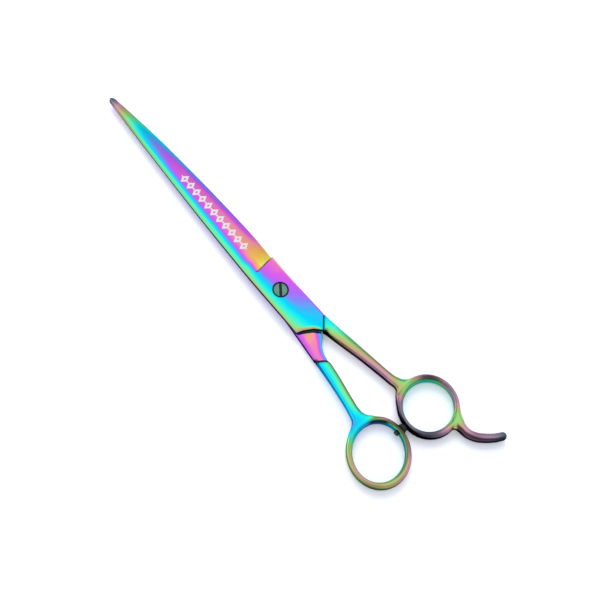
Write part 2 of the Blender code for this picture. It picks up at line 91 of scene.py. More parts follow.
TANG_RUNGS = [
    ((-12, -6.2), (-10, 5.45)), ((-16.4, -6.3), (-13, 5.75)), ((-18.3, -5.5), (-15, 5.95)),
    ((-20.3, -3.7), (-17, 6.15)), ((-22.2, -2.0), (-19, 6.35)), ((-23.8, -1.2), (-21, 6.6)),
    ((-24.6, -0.5), (-22.5, 6.75)), ((-26.8, 1.7), (-25, 7.0)), ((-29.5, 2.9), (-27.3, 7.25)),
    ((-32.1, 3.5), (-29.4, 7.45))
]
TOOTH_COUNT = 40
TOOTH_PITCH = 2.08
TOOTH_GAP = 0.92
FIRST_TOOTH = 15.2
TOOTH_LENGTH_SHARE = 0.56
NICK_WIDTH = 0.8
NICK_DEPTH = 0.35

# The grind's step on the front blade: where it crosses the blade, as (share of the width, x).
STEP_LINE = [(0.0, 11.95), (0.65, 10.75), (0.76, 11.05), (1.0, 11.05)]
STEP_RUN = 0.75
SPINE_STEP = (9.0, 16.0)
REAR_STEP = (10.9, 11.8)

# How far the flat's edges and the ground spine are eased down, and how wide the heel's easing is.
SPINE_EASE = 0.5
EDGE_EASE = 0.3
HEEL_EASE = 0.75
HEEL_REACH = 1.1
SPINE_FALL = 0.75
REAR_SPINE_EASE = 0.5

# Seams between blades and handles, the same as the CAD's.
FRONT_SEAM = ((-17.7, -6.75), (-22.5, -2.5))
REAR_SEAM = ((-32.1, 3.5), (-29.4, 7.45))
SEAM_GAP = 0.08
SEAM_ROUNDING = 0.22

# Shanks as (x, lower y, upper y, squareness of the section).
FRONT_SHANK = [
    (-15.5, -6.7, -2.2, 7.0), (-20, -7.15, -2.3, 7.0), (-22.6, -7.5, -2.5, 6.0), (-23.4, -7.65, -2.9, 5.5),
    (-26, -8.1, -3.4, 4.0), (-30, -8.8, -4.2, 3.2), (-35, -9.5, -5.35, 3.0), (-40, -10.2, -6.5, 2.8),
    (-45, -10.9, -7.45, 2.7), (-50, -11.6, -8.35, 2.6), (-54, -12.65, -9.0, 2.6), (-56.2, -14.1, -9.4, 2.6),
    (-57.6, -16.0, -9.0, 2.6), (-58.8, -17.6, -8.0, 2.4)
]
REAR_SHANK = [
    (-27.5, 2.9, 7.2, 7.0), (-31, 3.3, 7.6, 6.0), (-35, 3.9, 8.1, 4.5), (-40, 4.6, 8.75, 3.5),
    (-45, 5.5, 9.5, 3.0), (-50, 6.4, 10.35, 2.8), (-54, 6.95, 11.3, 2.6), (-56, 6.85, 12.0, 2.6),
    (-57.8, 6.1, 14.0, 2.6), (-59.4, 4.8, 16.4, 2.5), (-60.6, 4.6, 17.6, 2.4)
]
FRONT_RING = dict(centre=(-69.95, -14.45), hole=(9.7, 10.2, math.radians(9.0)),
                  outline=(11.95, 12.7, math.radians(70.0)),
                  swell=(math.radians(30.0), 0.7, math.radians(14.0)))
REAR_RING = dict(centre=(-71.52, 12.28), hole=(11.5, 10.0, math.radians(132.5)),
                 outline=(14.1, 12.3, math.radians(150.0)))
REAR_RING_HALF_HEIGHT = 2.6
RING_SQUARENESS = 2.4

# The finger rest's middle line as (x, y, half width, half height).
FINGER_REST = [
    (-79.4, -19.0, 3.0, 2.2), (-81.5, -19.1, 2.5, 2.55), (-84.0, -18.9, 1.85, 2.6),
    (-87.2, -19.25, 1.7, 2.55), (-90.2, -20.8, 1.7, 2.5), (-92.9, -23.5, 1.7, 2.4),
    (-95.0, -26.4, 1.65, 2.3), (-96.3, -28.9, 1.6, 2.2)
]
REST_SQUARENESS = 2.3

# How deep the wire's rounding goes, how widely its shapes blend, and the mesh's spacing.
ROUNDING_REACH = 2.2
RING_TO_SHANK = 1.2
RING_TO_REST = 2.0
NET_STEP = 0.27

# Pivot stack and bumper. The screw's head and the counterbore are slightly smaller than the
# CAD's, and the slot is wider and at another angle, as in the photo. Profiles are
# (radius, height), and the bumper's height runs along its stem.
BUSH_HOLE_RADIUS = 2.6
COUNTERBORE_RADIUS = 3.1
COUNTERBORE_FLOOR = 3.8
THREAD_HOLE_RADIUS = 1.56
WASHER_RECESS_RADIUS = 4.55
WASHER_RECESS_FLOOR = 2.27
SLOT_WIDTH = 1.1
SLOT_FLOOR = 4.95
SLOT_ANGLE = math.radians(-38.0)
SCREW_HEAD = [
    (1.8, 2.5), (1.8, 4.45), (2.8, 4.45), (2.95, 4.6), (2.95, 5.0), (2.65, 5.36), (1.6, 5.5), (0.3, 5.54)
]
THREAD_PITCH = 0.4
THREAD_DEPTH = 0.15
THREAD_ROOT = 1.34
THREAD_SPAN = (0.16, 2.30)
BUMPER_X = -70.0
BUMPER_HOLE_RADIUS = 0.9
BUMPER_PROFILE = [
    (0.3, -2.33), (1.28, -2.33), (1.55, -2.16), (1.93, -0.78), (1.84, -0.58), (0.84, -0.58), (0.84, 1.86),
    (1.13, 1.92), (1.08, 2.38), (0.6, 2.62), (0.25, 2.68)
]

# Cutters reach past every piece.
CUT_FROM = -1.0
CUT_TO = 7.0
LATHE_SIDES = 96

# Interference colours in the order that the coating shows them, as (film, sRGB).
FILM_COLOURS = [
    (-0.52, (0.36, 0.45, 0.50)), (-0.42, (0.53, 0.51, 0.57)), (-0.33, (0.60, 0.52, 0.60)),
    (-0.25, (0.69, 0.55, 0.64)), (-0.16, (0.84, 0.62, 0.70)), (-0.10, (0.83, 0.65, 0.61)),
    (-0.05, (0.80, 0.69, 0.54)), (0.00, (0.76, 0.74, 0.48)), (0.05, (0.70, 0.81, 0.48)),
    (0.09, (0.62, 0.88, 0.50)), (0.15, (0.48, 0.95, 0.64)), (0.21, (0.37, 0.97, 0.77)),
    (0.28, (0.18, 0.97, 0.90)), (0.35, (0.08, 0.92, 0.98)), (0.42, (0.06, 0.83, 1.00)),
    (0.48, (0.27, 0.72, 0.98)), (0.54, (0.50, 0.57, 0.98)), (0.60, (0.67, 0.45, 0.98)),
    (0.66, (0.80, 0.39, 0.96)), (0.73, (0.88, 0.39, 0.91)), (0.80, (0.94, 0.46, 0.82)),
    (0.86, (0.98, 0.58, 0.70)), (0.92, (0.98, 0.67, 0.48)), (0.98, (0.98, 0.76, 0.34)),
    (1.04, (0.97, 0.86, 0.37)), (1.10, (0.97, 0.94, 0.48)), (1.16, (0.84, 0.90, 0.56))
]
FILM_LOW = -0.55
FILM_HIGH = 1.2

# Distance over which the handles' stretches blend their film, the side that reads dark in the
# photo and gets the most painted shade, and the colours that painted shade darkens a coating to.
FILM_BLEND = 0.8
DARK_SIDE = (-0.49, 0.87)
UNLIT_FILM = (0.012, 0.010, 0.016, 1.0)
UNLIT_SCREW = (0.012, 0.018, 0.03, 1.0)
ETCHED_WHITE = (0.95, 0.93, 0.94, 1.0)

# Etched row on the front blade: plain lozenges with a dot between each pair.
ETCH_START = 20.6
ETCH_PITCH = 3.55
ETCH_COUNT = 11
ETCH_MIDDLE = -0.55
ETCH_HALF_WIDTH = 1.42
ETCH_HALF_HEIGHT = 2.15
ETCH_HEART = 0.34
ETCH_DOT = 0.34
ETCH_BLUR = 0.04


# ---------------------------------------------------------------- curves and small helpers

def curve(knots, x):
    """A smooth curve through knots of (x, value), with the slopes of its neighbours."""
    xs = np.array([knot[0] for knot in knots], float)
    ys = np.array([knot[1] for knot in knots], float)
    slopes = np.gradient(ys, xs)
    x = np.asarray(x, float)
    i = np.clip(np.searchsorted(xs, x) - 1, 0, len(xs) - 2)
    span = xs[i + 1] - xs[i]
    t = np.clip((x - xs[i]) / span, 0.0, 1.0)
    return ((2 * t**3 - 3 * t**2 + 1) * ys[i] + (t**3 - 2 * t**2 + t) * span * slopes[i]
            + (3 * t**2 - 2 * t**3) * ys[i + 1] + (t**3 - t**2) * span * slopes[i + 1])


def line(knots, x):
    """Straight runs between knots of (x, value), whichever way the knots go."""
    knots = sorted(knots)
    return np.interp(x, [knot[0] for knot in knots], [knot[1] for knot in knots])


def step(value, start, end):
    """0 before start and 1 after end, smooth between; start may be the larger one."""
    t = np.clip((np.asarray(value, float) - start) / (end - start), 0.0, 1.0)
    return t * t * (3 - 2 * t)


def mix(a, b, share):
    return a + (b - a) * share


def share_between(value, low, high):
    """0 at a low side and 1 at a high one."""
    return np.clip((value - low) / (high - low), 0.0, 1.0)


def smooth_min(a, b, reach):
    share = np.clip(0.5 + 0.5 * (b - a) / reach, 0.0, 1.0)
    return mix(b, a, share) - reach * share * (1 - share)


def smooth_max(a, b, reach):
    return -smooth_min(-a, -b, reach)


def linear(channel):
    """An sRGB channel as a linear one."""
    return channel / 12.92 if channel <= 0.04045 else ((channel + 0.055) / 1.055)**2.4


# ---------------------------------------------------------------- meshes

def add_object(name, points, faces, smooth_angle=35.0):
    """A mesh object from points in millimetres."""
    mesh = bpy.data.meshes.new(name)
    mesh.from_pydata((np.asarray(points, float) * MM).tolist(), [], faces)
    mesh.update()
    made = bpy.data.objects.new(name, mesh)
    bpy.context.collection.objects.link(made)
    mesh.shade_smooth()
    mesh.set_sharp_from_angle(angle=math.radians(smooth_angle))
    return made


def cut(target, cutter, smooth_angle):
    """Take a cutter out of a piece, then drop it."""
    taken = target.modifiers.new(cutter.name, "BOOLEAN")
    taken.operation = "DIFFERENCE"
    taken.solver = "EXACT"
    taken.object = cutter
    settled = target.evaluated_get(bpy.context.evaluated_depsgraph_get())
    target.data = bpy.data.meshes.new_from_object(settled)
    target.modifiers.clear()
    bpy.data.objects.remove(cutter, do_unlink=True)
    target.data.shade_smooth()
    target.data.set_sharp_from_angle(angle=math.radians(smooth_angle))


def grid_solid(name, x, y, top, bottom):
    """A solid between two height grids over the same places, with straight side walls."""
    rows, columns = x.shape
    lower = rows * columns
    points = [np.stack([x, y, height], -1).reshape(-1, 3) for height in (top, bottom)]
    number = np.arange(lower).reshape(rows, columns)
    a = number[:-1, :-1].ravel()
    quads = np.stack([a, a + columns, a + columns + 1, a + 1], -1)
    faces = quads.tolist() + (quads[:, ::-1] + lower).tolist()
    border = np.concatenate([number[0], number[1:, -1], number[-1, -2::-1], number[-2:0:-1, 0]])
    levels = [border]
    top_points, bottom_points = points[0][border], points[1][border]
    start = 2 * lower
    for share in (1 / 3, 2 / 3):
        points.append(mix(top_points, bottom_points, share))
        levels.append(start + np.arange(len(border)))
        start += len(border)
    levels.append(border + lower)
    for upper, under in zip(levels[:-1], levels[1:]):
        ring = np.stack([upper, np.roll(upper, -1), np.roll(under, -1), under], -1)
        faces += ring.tolist()
    made = add_object(name, np.concatenate(points), faces)
    turn_outwards(made)
    return made


def turn_outwards(piece):
    shape = bmesh.new()
    shape.from_mesh(piece.data)
    bmesh.ops.recalc_face_normals(shape, faces=shape.faces)
    shape.to_mesh(piece.data)
    shape.free()


def turned(name, profile, sides=LATHE_SIDES):
    """Turn a profile of (radius, height) about +Z and cap its ends."""
    profile = np.array(profile, float)
    count = len(profile)
    angles = 2 * math.pi * np.arange(sides) / sides
    points = np.stack([np.outer(np.cos(angles), profile[:, 0]),
                       np.outer(np.sin(angles), profile[:, 0]),
                       np.tile(profile[:, 1], (sides, 1))], -1).reshape(-1, 3)
    faces = []
    for k in range(sides):
        here, there = k * count, ((k + 1) % sides) * count
        faces += [(here + i, there + i, there + i + 1, here + i + 1) for i in range(count - 1)]
    faces.append([k * count for k in reversed(range(sides))])
    faces.append([k * count + count - 1 for k in range(sides)])
    made = add_object(name, points, faces)
    turn_outwards(made)
    return made


def rounded(corners, radius):
    """A profile with each corner but its ends rounded by a curve of about that radius."""
    corners = [np.array(corner, float) for corner in corners]
    out = [corners[0]]
    for before, here, after in zip(corners[:-2], corners[1:-1], corners[2:]):
        back, ahead = before - here, after - here
        reach = min(radius, np.hypot(*back) * 0.45, np.hypot(*ahead) * 0.45)
        start = here + back / np.hypot(*back) * reach
        end = here + ahead / np.hypot(*ahead) * reach
        for t in np.linspace(0, 1, 5):
            out.append((1 - t)**2 * start + 2 * t * (1 - t) * here + t**2 * end)
    out.append(corners[-1])
    return [tuple(point) for point in out]


def prisms(name, outlines, low, high):
    """Upright prisms over some outlines, as one object."""
    points, faces = [], []
    for outline in outlines:
        count, start = len(outline), len(points)
        points += [(x, y, z) for z in (low, high) for x, y in outline]
        lower = range(start, start + count)
        faces += [tuple(reversed(lower)), tuple(i + count for i in lower)]
        faces += [(here, there, there + count, here + count)
                  for here, there in zip(lower, [*lower[1:], start])]
    made = add_object(name, points, faces)
    turn_outwards(made)
    return made


# ---------------------------------------------------------------- rounded wire shapes

def net_quads(inside, cell_index, shape, axis):
    """Faces of a surface net that cross the grid's edges along one axis."""
    u, v = (axis + 1) % 3, (axis + 2) % 3
    first = np.take(inside, range(shape[axis] - 1), axis)
    second = np.take(inside, range(1, shape[axis]), axis)
    where = np.argwhere(first != second)
    keep = np.all([where[:, u] > 0, where[:, v] > 0,
                   where[:, u] < shape[u] - 1, where[:, v] < shape[v] - 1], 0)
    where = where[keep]
    du, dv = np.eye(3, dtype=int)[[u, v]]
    corners = [where, where - du, where - du - dv, where - dv]
    quads = np.stack([cell_index[tuple(corner.T)] for corner in corners], -1)
    outward = first[tuple(where.T)]
    quads[~outward] = quads[~outward][:, ::-1]
    return quads


def surface_net(field, low, high, spacing):
    """Points and quads of the surface where a field is 0; it is negative inside."""
    axes = [np.arange(a, b + spacing, spacing) for a, b in zip(low, high)]
    values = field(*np.meshgrid(*axes, indexing="ij"))
    inside = values < 0
    shape = values.shape
    offsets = [np.array([i, j, k]) for i in (0, 1) for j in (0, 1) for k in (0, 1)]

    def corner(grid, offset):
        return grid[tuple(slice(o, o + n - 1) for o, n in zip(offset, shape))]

    filled = sum(corner(inside, offset).astype(int) for offset in offsets)
    mixed = (filled > 0) & (filled < 8)
    cells = np.argwhere(mixed)
    cell_index = np.full(mixed.shape, -1)
    cell_index[mixed] = np.arange(len(cells))
    total, count = np.zeros((len(cells), 3)), np.zeros(len(cells))
    for a in offsets:
        for b in offsets:
            if np.sum(b - a) == 1 and np.all(b >= a):
                va, vb = corner(values, a)[mixed], corner(values, b)[mixed]
                crossed = (va < 0) != (vb < 0)
                t = np.where(crossed, va / np.where(crossed, va - vb, 1.0), 0.0)
                total += np.where(crossed[:, None], a + np.outer(t, b - a), 0.0)
                count += crossed
    points = (cells + total / count[:, None]) * spacing + np.array([axis[0] for axis in axes])
    quads = np.concatenate([net_quads(inside, cell_index, shape, axis) for axis in range(3)])
    return points, quads


def slope(field, points, reach=0.03):
    """A field's gradient at points."""
    return np.stack([(field(*(points + shift).T) - field(*(points - shift).T)) / (2 * reach)
                     for shift in reach * np.eye(3)], -1)


def settle(field, points, rounds=4):
    """Slide points onto the surface where the field is 0."""
    for _ in range(rounds):
        gradient = slope(field, points)
        size = np.maximum(np.sum(gradient**2, -1), 0.05)
        move = (field(*points.T) / size)[:, None] * gradient
        length = np.linalg.norm(move, axis=-1, keepdims=True)
        points = points - move * np.minimum(1.0, 0.15 / np.maximum(length, 1e-9))
    return points


def ellipse_radius(direction, ellipse):
    first, second, tilt = ellipse
    return 1.0 / np.hypot(np.cos(direction - tilt) / first, np.sin(direction - tilt) / second)


def ring_plan(x, y, centre, hole, outline, swell=(0.0, 0.0, 1.0)):
    """Distances outside a ring's outline and inside its hole, and its wire's half width."""
    angle = np.arctan2(y - centre[1], x - centre[0])
    radius = np.hypot(x - centre[0], y - centre[1])
    away = (angle - swell[0] + math.pi) % (2 * math.pi) - math.pi
    inner = ellipse_radius(angle, hole)
    outer = ellipse_radius(angle, outline) + swell[1] * np.exp(-(away / swell[2])**2)
    return radius - outer, inner - radius, (outer - inner) / 2


def shank_measure(x, stations, column):
    return curve([(station[0], station[column]) for station in stations[::-1]], x)


def shank_plan(x, y, stations):
    """Distance outside a shank's outline, its half width and its squareness."""
    low, high, squareness = (shank_measure(x, stations, column) for column in (1, 2, 3))
    half = (high - low) / 2
    across = np.abs(y - (low + high) / 2) - half
    beyond = (stations[-1][0] - x) * 0.8
    return np.maximum(across, beyond), half, squareness


def rest_path():
    """The finger rest's stations, closely spaced, and how far along it each one is."""
    knots = np.array(FINGER_REST)
    run = np.concatenate([[0], np.cumsum(np.hypot(*np.diff(knots[:, :2], axis=0).T))])
    along = np.linspace(0, run[-1], 90)
    return np.stack([curve(list(zip(run, knots[:, k])), along) for k in range(4)], -1), along


def rest_plan(x, y):
    """Distance outside the finger rest's outline, its half width, half height and run."""
    path, along = rest_path()
    flat = np.stack([np.ravel(x), np.ravel(y)], -1)
    best = np.full(len(flat), 1e9)
    nearest = np.zeros(len(flat), int)
    for i, knot in enumerate(path):
        gap = (flat[:, 0] - knot[0])**2 + (flat[:, 1] - knot[1])**2
        closer = gap < best
        best[closer] = gap[closer]
        nearest[closer] = i
    shape = np.shape(x)
    half = path[nearest, 2].reshape(shape)
    return (np.sqrt(best).reshape(shape) - half, half, path[nearest, 3].reshape(shape),
            along[nearest].reshape(shape))


def seam_distance(x, y, seam):
    """How far a place is on the blade's side of a seam, past its gap."""
    (x0, y0), (x1, y1) = seam
    length = math.hypot(x1 - x0, y1 - y0)
    normal = np.array([(y1 - y0) / length, -(x1 - x0) / length])
    if normal[0] < 0:
        normal = -normal
    return (x - x0) * normal[0] + (y - y0) * normal[1] + SEAM_GAP


def wire_field(z, outside, half, squareness, half_height):
    """A rounded section over a plan distance: full height where the plan is deep enough."""
    reach = np.minimum(half, ROUNDING_REACH)
    across = np.maximum(0.0, 1.0 + outside / reach)
    up = np.abs(z - MIDDLE) / half_height
    total = (across**squareness + up**squareness)**(1.0 / squareness)
    return (total - 1.0) * reach


def blend_by_depth(distances, values, reach=0.7):
    """Values of neighbouring shapes, weighted to the one that a place is deepest in."""
    best = np.minimum.reduce(distances)
    weights = [np.exp(-(distance - best) / reach) for distance in distances]
    return sum(w * v for w, v in zip(weights, values)) / sum(weights)


def handle_field(x, y, z, ring_shape, ring_height, stations, others=()):
    """A handle's ring and shank, and others given as (distance, half width, squareness, height)."""
    outer, hole, ring_half = ring_plan(x, y, **ring_shape)
    shank, shank_half, shank_square = shank_plan(x, y, stations)
    plan = smooth_min(outer, shank, RING_TO_SHANK)
    for other in others:
        plan = smooth_min(plan, other[0], RING_TO_REST)
    parts = [(np.maximum(outer, hole), ring_half, RING_SQUARENESS, ring_height),
             (shank, shank_half, shank_square, MIDDLE), *others]
    distances, *measures = zip(*parts)
    half, square, height = (blend_by_depth(distances, values) for values in measures)
    return wire_field(z, np.maximum(plan, hole), half, square, height)


def front_handle_field(x, y, z):
    rest, half, height, _ = rest_plan(x, y)
    wire = handle_field(x, y, z, FRONT_RING, MIDDLE, FRONT_SHANK,
                        [(rest, half, REST_SQUARENESS, height)])
    return smooth_max(wire, seam_distance(x, y, FRONT_SEAM), SEAM_ROUNDING)


def rear_handle_field(x, y, z):
    """The thumb ring and its shank, with a rounded end over the tang and the bumper's hole."""
    wire = handle_field(x, y, z, REAR_RING, REAR_RING_HALF_HEIGHT, REAR_SHANK)
    rounding = mix(0.25, 2.6, step(z, REAR_TOP - 0.2, REAR_TOP + 1.2))
    wire = smooth_max(wire, seam_distance(x, y, REAR_SEAM), rounding)
    bore = BUMPER_HOLE_RADIUS - np.hypot(x - BUMPER_X, z - MIDDLE)
    return np.maximum(wire, mix(-1.0, bore, step(y, 4.5, 3.5)))


# ---------------------------------------------------------------- film colours over the pieces

def paint(piece, film, shade):
    """Store the coating's order and its painted shade on a piece's vertices."""
    for name, values in (("film", film), ("shade", shade)):
        layer = piece.data.attributes.new(name, "FLOAT", "POINT")
        layer.data.foreach_set("value", np.asarray(values, np.float32))


def vertex_data(piece):
    """A piece's points in millimetres and its normals."""
    points, normals = np.zeros((2, len(piece.data.vertices) * 3), np.float32)
    piece.data.vertices.foreach_get("co", points)
    piece.data.vertices.foreach_get("normal", normals)
    return points.reshape(-1, 3).astype(float) / MM, normals.reshape(-1, 3).astype(float)


def darkened(shade, to, where):
    """A shade multiplied by a number where another value is 1, and kept where that is 0."""
    return shade * mix(1.0, to, where)


def facing_dark(normals):
    """How far surfaces face the thumb ring's side, which is the dark side of the photo."""
    return normals[:, 1] * DARK_SIDE[1] + normals[:, 0] * DARK_SIDE[0]


def wall_shade(normals, start=0.72, end=0.25, darkest=0.05):
    """Painted shade on walls: they are darkened, most of all those that face the dark side."""
    wall = step(np.abs(normals[:, 2]), start, end)
    return mix(1.0, mix(0.42, darkest, step(facing_dark(normals), -0.3, 0.5)), wall)


def front_blade_film(x, share):
    """Gold at the grind through magenta, blue and green to grey at the tip."""
    middle = line([
        (11, 1.10), (12.5, 1.09), (14, 1.04), (16, 0.99), (20, 0.93), (24, 0.90), (30, 0.87), (40, 0.83),
        (50, 0.80), (60, 0.765), (65, 0.70), (70, 0.62), (75, 0.56), (80, 0.485), (85, 0.37), (88, 0.27),
        (90, 0.20), (92, 0.13), (94, 0.06), (95.5, -0.02), (97, -0.13), (99, -0.20), (100, -0.36),
        (101, -0.50)
    ], x)
    cutting = line([
        (11, 1.10), (13, 1.05), (16, 0.97), (20, 0.86), (25, 0.70), (30, 0.62), (40, 0.57), (50, 0.53),
        (60, 0.47), (70, 0.43), (78, 0.33), (85, 0.18), (90, 0.10), (94, 0.02), (97, -0.13), (99, -0.20),
        (100, -0.36), (101, -0.50)
    ], x)
    spine = line([(11, 0.12), (20, 0.14), (60, 0.13), (75, 0.11), (85, 0.08), (91, 0.03), (95, -0.04),
                  (98, -0.15), (100, -0.36), (101, -0.50)], x)
    low_side = step(share, 0.30, 0.02)
    high_side = line([(0.0, 0.0), (0.48, 0.0), (0.57, 0.07), (0.66, 0.17), (0.75, 0.36), (0.80, 0.56),
                      (0.85, 0.76), (0.90, 0.91), (0.95, 0.97), (1.0, 1.0)],
                     share + 0.06 * step(x, 18.0, 14.0) * step(share, 0.45, 0.55))
    return mix(mix(middle, cutting, low_side), spine, high_side)


def pivot_film(x, y):
    """The flat round the pivot: magenta at the cutting side to green at the spine."""
    low = line([(-24, 0.40), (-20, 0.42), (-16, 0.455), (-12, 0.50), (-8, 0.565), (-4, 0.62), (0, 0.67),
                (4, 0.72), (8, 0.785), (12, 0.79)], x)
    high = line([(-18, 0.10), (-10, 0.13), (6, 0.16), (12, 0.14)], x)
    across = line([(-6.5, -0.05), (-4, 0.0), (-2, 0.06), (0, 0.18), (1, 0.32), (2, 0.46), (3, 0.60),
                   (4, 0.74), (5, 0.90), (5.7, 1.05), (6.2, 1.35)], y)
    return mix(low, high, across)


def film_front_blade(piece):
    points, normals = vertex_data(piece)
    x, y, _ = points.T
    share = share_between(y, curve(FRONT_EDGE, x), curve(FRONT_SPINE, x))
    past = x - line(STEP_LINE, share)
    spine_side = step(share, 0.72, 0.80)
    ground = mix(step(past, -0.05, 0.35), 0.0, spine_side)
    ground = np.maximum(ground, step(x, *SPINE_STEP) * spine_side)
    film = mix(pivot_film(x, y), front_blade_film(x, share), ground)
    heel_x = line([(knot_y, knot_x) for _, knot_x, knot_y in FRONT_HEEL[1:]], y)
    film = mix(film, -0.06, step(x - heel_x, 2.2, 0.2) * step(y, -3.0, -0.5))
    film = film + 0.13 * step(share, 0.07, 0.02) * (1 - ground)
    film = np.where(normals[:, 2] < -0.5, 0.476 + 0.0024 * x + 0.03 * y, film)
    # Painted shade on every wall, darker still on the grind's step wall.
    step_wall = step(past, -0.1, 0.15) * step(past, STEP_RUN, 0.35) * step(share, 0.77, 0.7)
    shade = darkened(wall_shade(normals), 0.30, step_wall)
    # Painted shade: a thin darker band along the cutting edge.
    shade = darkened(shade, 0.8, step(share, 0.05, 0.0) * step(x, 12, 60))
    # Painted shade along the seam with the handle.
    near_seam = step(np.abs(seam_distance(x, y, FRONT_SEAM)), 0.55, 0.15)
    shade = darkened(shade, 0.6, near_seam * step(y, -1.9, -2.6))
    # Painted shade on the hollow grind, deepest towards the tip, where it would mirror something dim.
    hollow = line([(30, 1.0), (50, 0.92), (75, 0.90), (85, 0.80), (92, 0.80), (97, 0.92), (102, 0.95)], x)
    shade = darkened(shade, hollow, step(share, 0.72, 0.40) * ground)
    # Painted shade round the counterbore's rim.
    bore = step(np.hypot(x, y), COUNTERBORE_RADIUS + 0.2, COUNTERBORE_RADIUS)
    paint(piece, film, darkened(shade, 0.35, bore))


def film_rear_blade(piece):
    """Salmon and pink on the tang's middle, violet and blue to its edges."""
    points, normals = vertex_data(piece)
    x, y, _ = points.T
    tang = step(x, -11.0, -14.0)
    low = mix(curve(REAR_SPINE, x), line([rung[0] for rung in TANG_RUNGS], x), tang)
    high = mix(curve(REAR_TEETH, x), line([rung[1] for rung in TANG_RUNGS], x), tang)
    share = share_between(y, low, high)
    middle = line([(-33, 0.84), (-29, 0.82), (-24, 0.85), (-21, 0.90), (-14, 0.88), (0, 0.8), (20, 0.72),
                   (45, 0.6), (65, 0.48), (80, 0.34), (90, 0.15), (96, -0.05), (101, -0.4)], x)
    edge_low = line([(-33, 0.50), (-27, 0.46), (-20, 0.44), (0, 0.5), (60, 0.3), (90, 0.0), (101, -0.4)], x)
    edge_high = line([
        (-33, 0.66), (-27, 0.70), (-20, 0.66), (0, 0.6), (60, 0.4), (90, 0.1), (101, -0.4)
    ], x)
    film = mix(middle, edge_low, step(share, 0.44, 0.05))
    film = mix(film, edge_high, step(share, 0.68, 1.02))
    # Painted shade on the walls and where the tang's end meets the seam.
    by_seam = step(seam_distance(x, y, REAR_SEAM), 1.0, 0.4) * step(y, 5.8, 6.9)
    paint(piece, film, darkened(wall_shade(normals, 0.6), 0.15, by_seam))


def handle_places(x, y, normals, ring_shape, stations):
    """Where places lie round a handle's ring, across its wire and across its shank."""
    outer, hole, ring_half = ring_plan(x, y, **ring_shape)
    low, high = (shank_measure(x, stations, column) for column in (1, 2))
    turn = np.arctan2(y - ring_shape["centre"][1], x - ring_shape["centre"][0])
    radial = np.cos(turn) * normals[:, 0] + np.sin(turn) * normals[:, 1]
    return SimpleNamespace(
        hole=hole, ring=np.maximum(outer, hole), shank=shank_plan(x, y, stations)[0],
        angle=np.degrees(turn) % 360.0, across=share_between(y, low, high),
        wire=1.0 + outer / ring_half,
        inner_wall=step(hole, -0.9, -0.3) * step(radial, -0.4, -0.85))


def round_ring(lie, inner, middle, outer):
    """A value from rows of (angle, value) at a ring's hole, on its middle and at its outline."""
    inner, middle, outer = (line(row, lie.angle) for row in (inner, middle, outer))
    edge = np.where(lie.wire < 0, inner, outer)
    return mix(middle, edge, np.minimum(np.abs(lie.wire) / 0.75, 1.0))


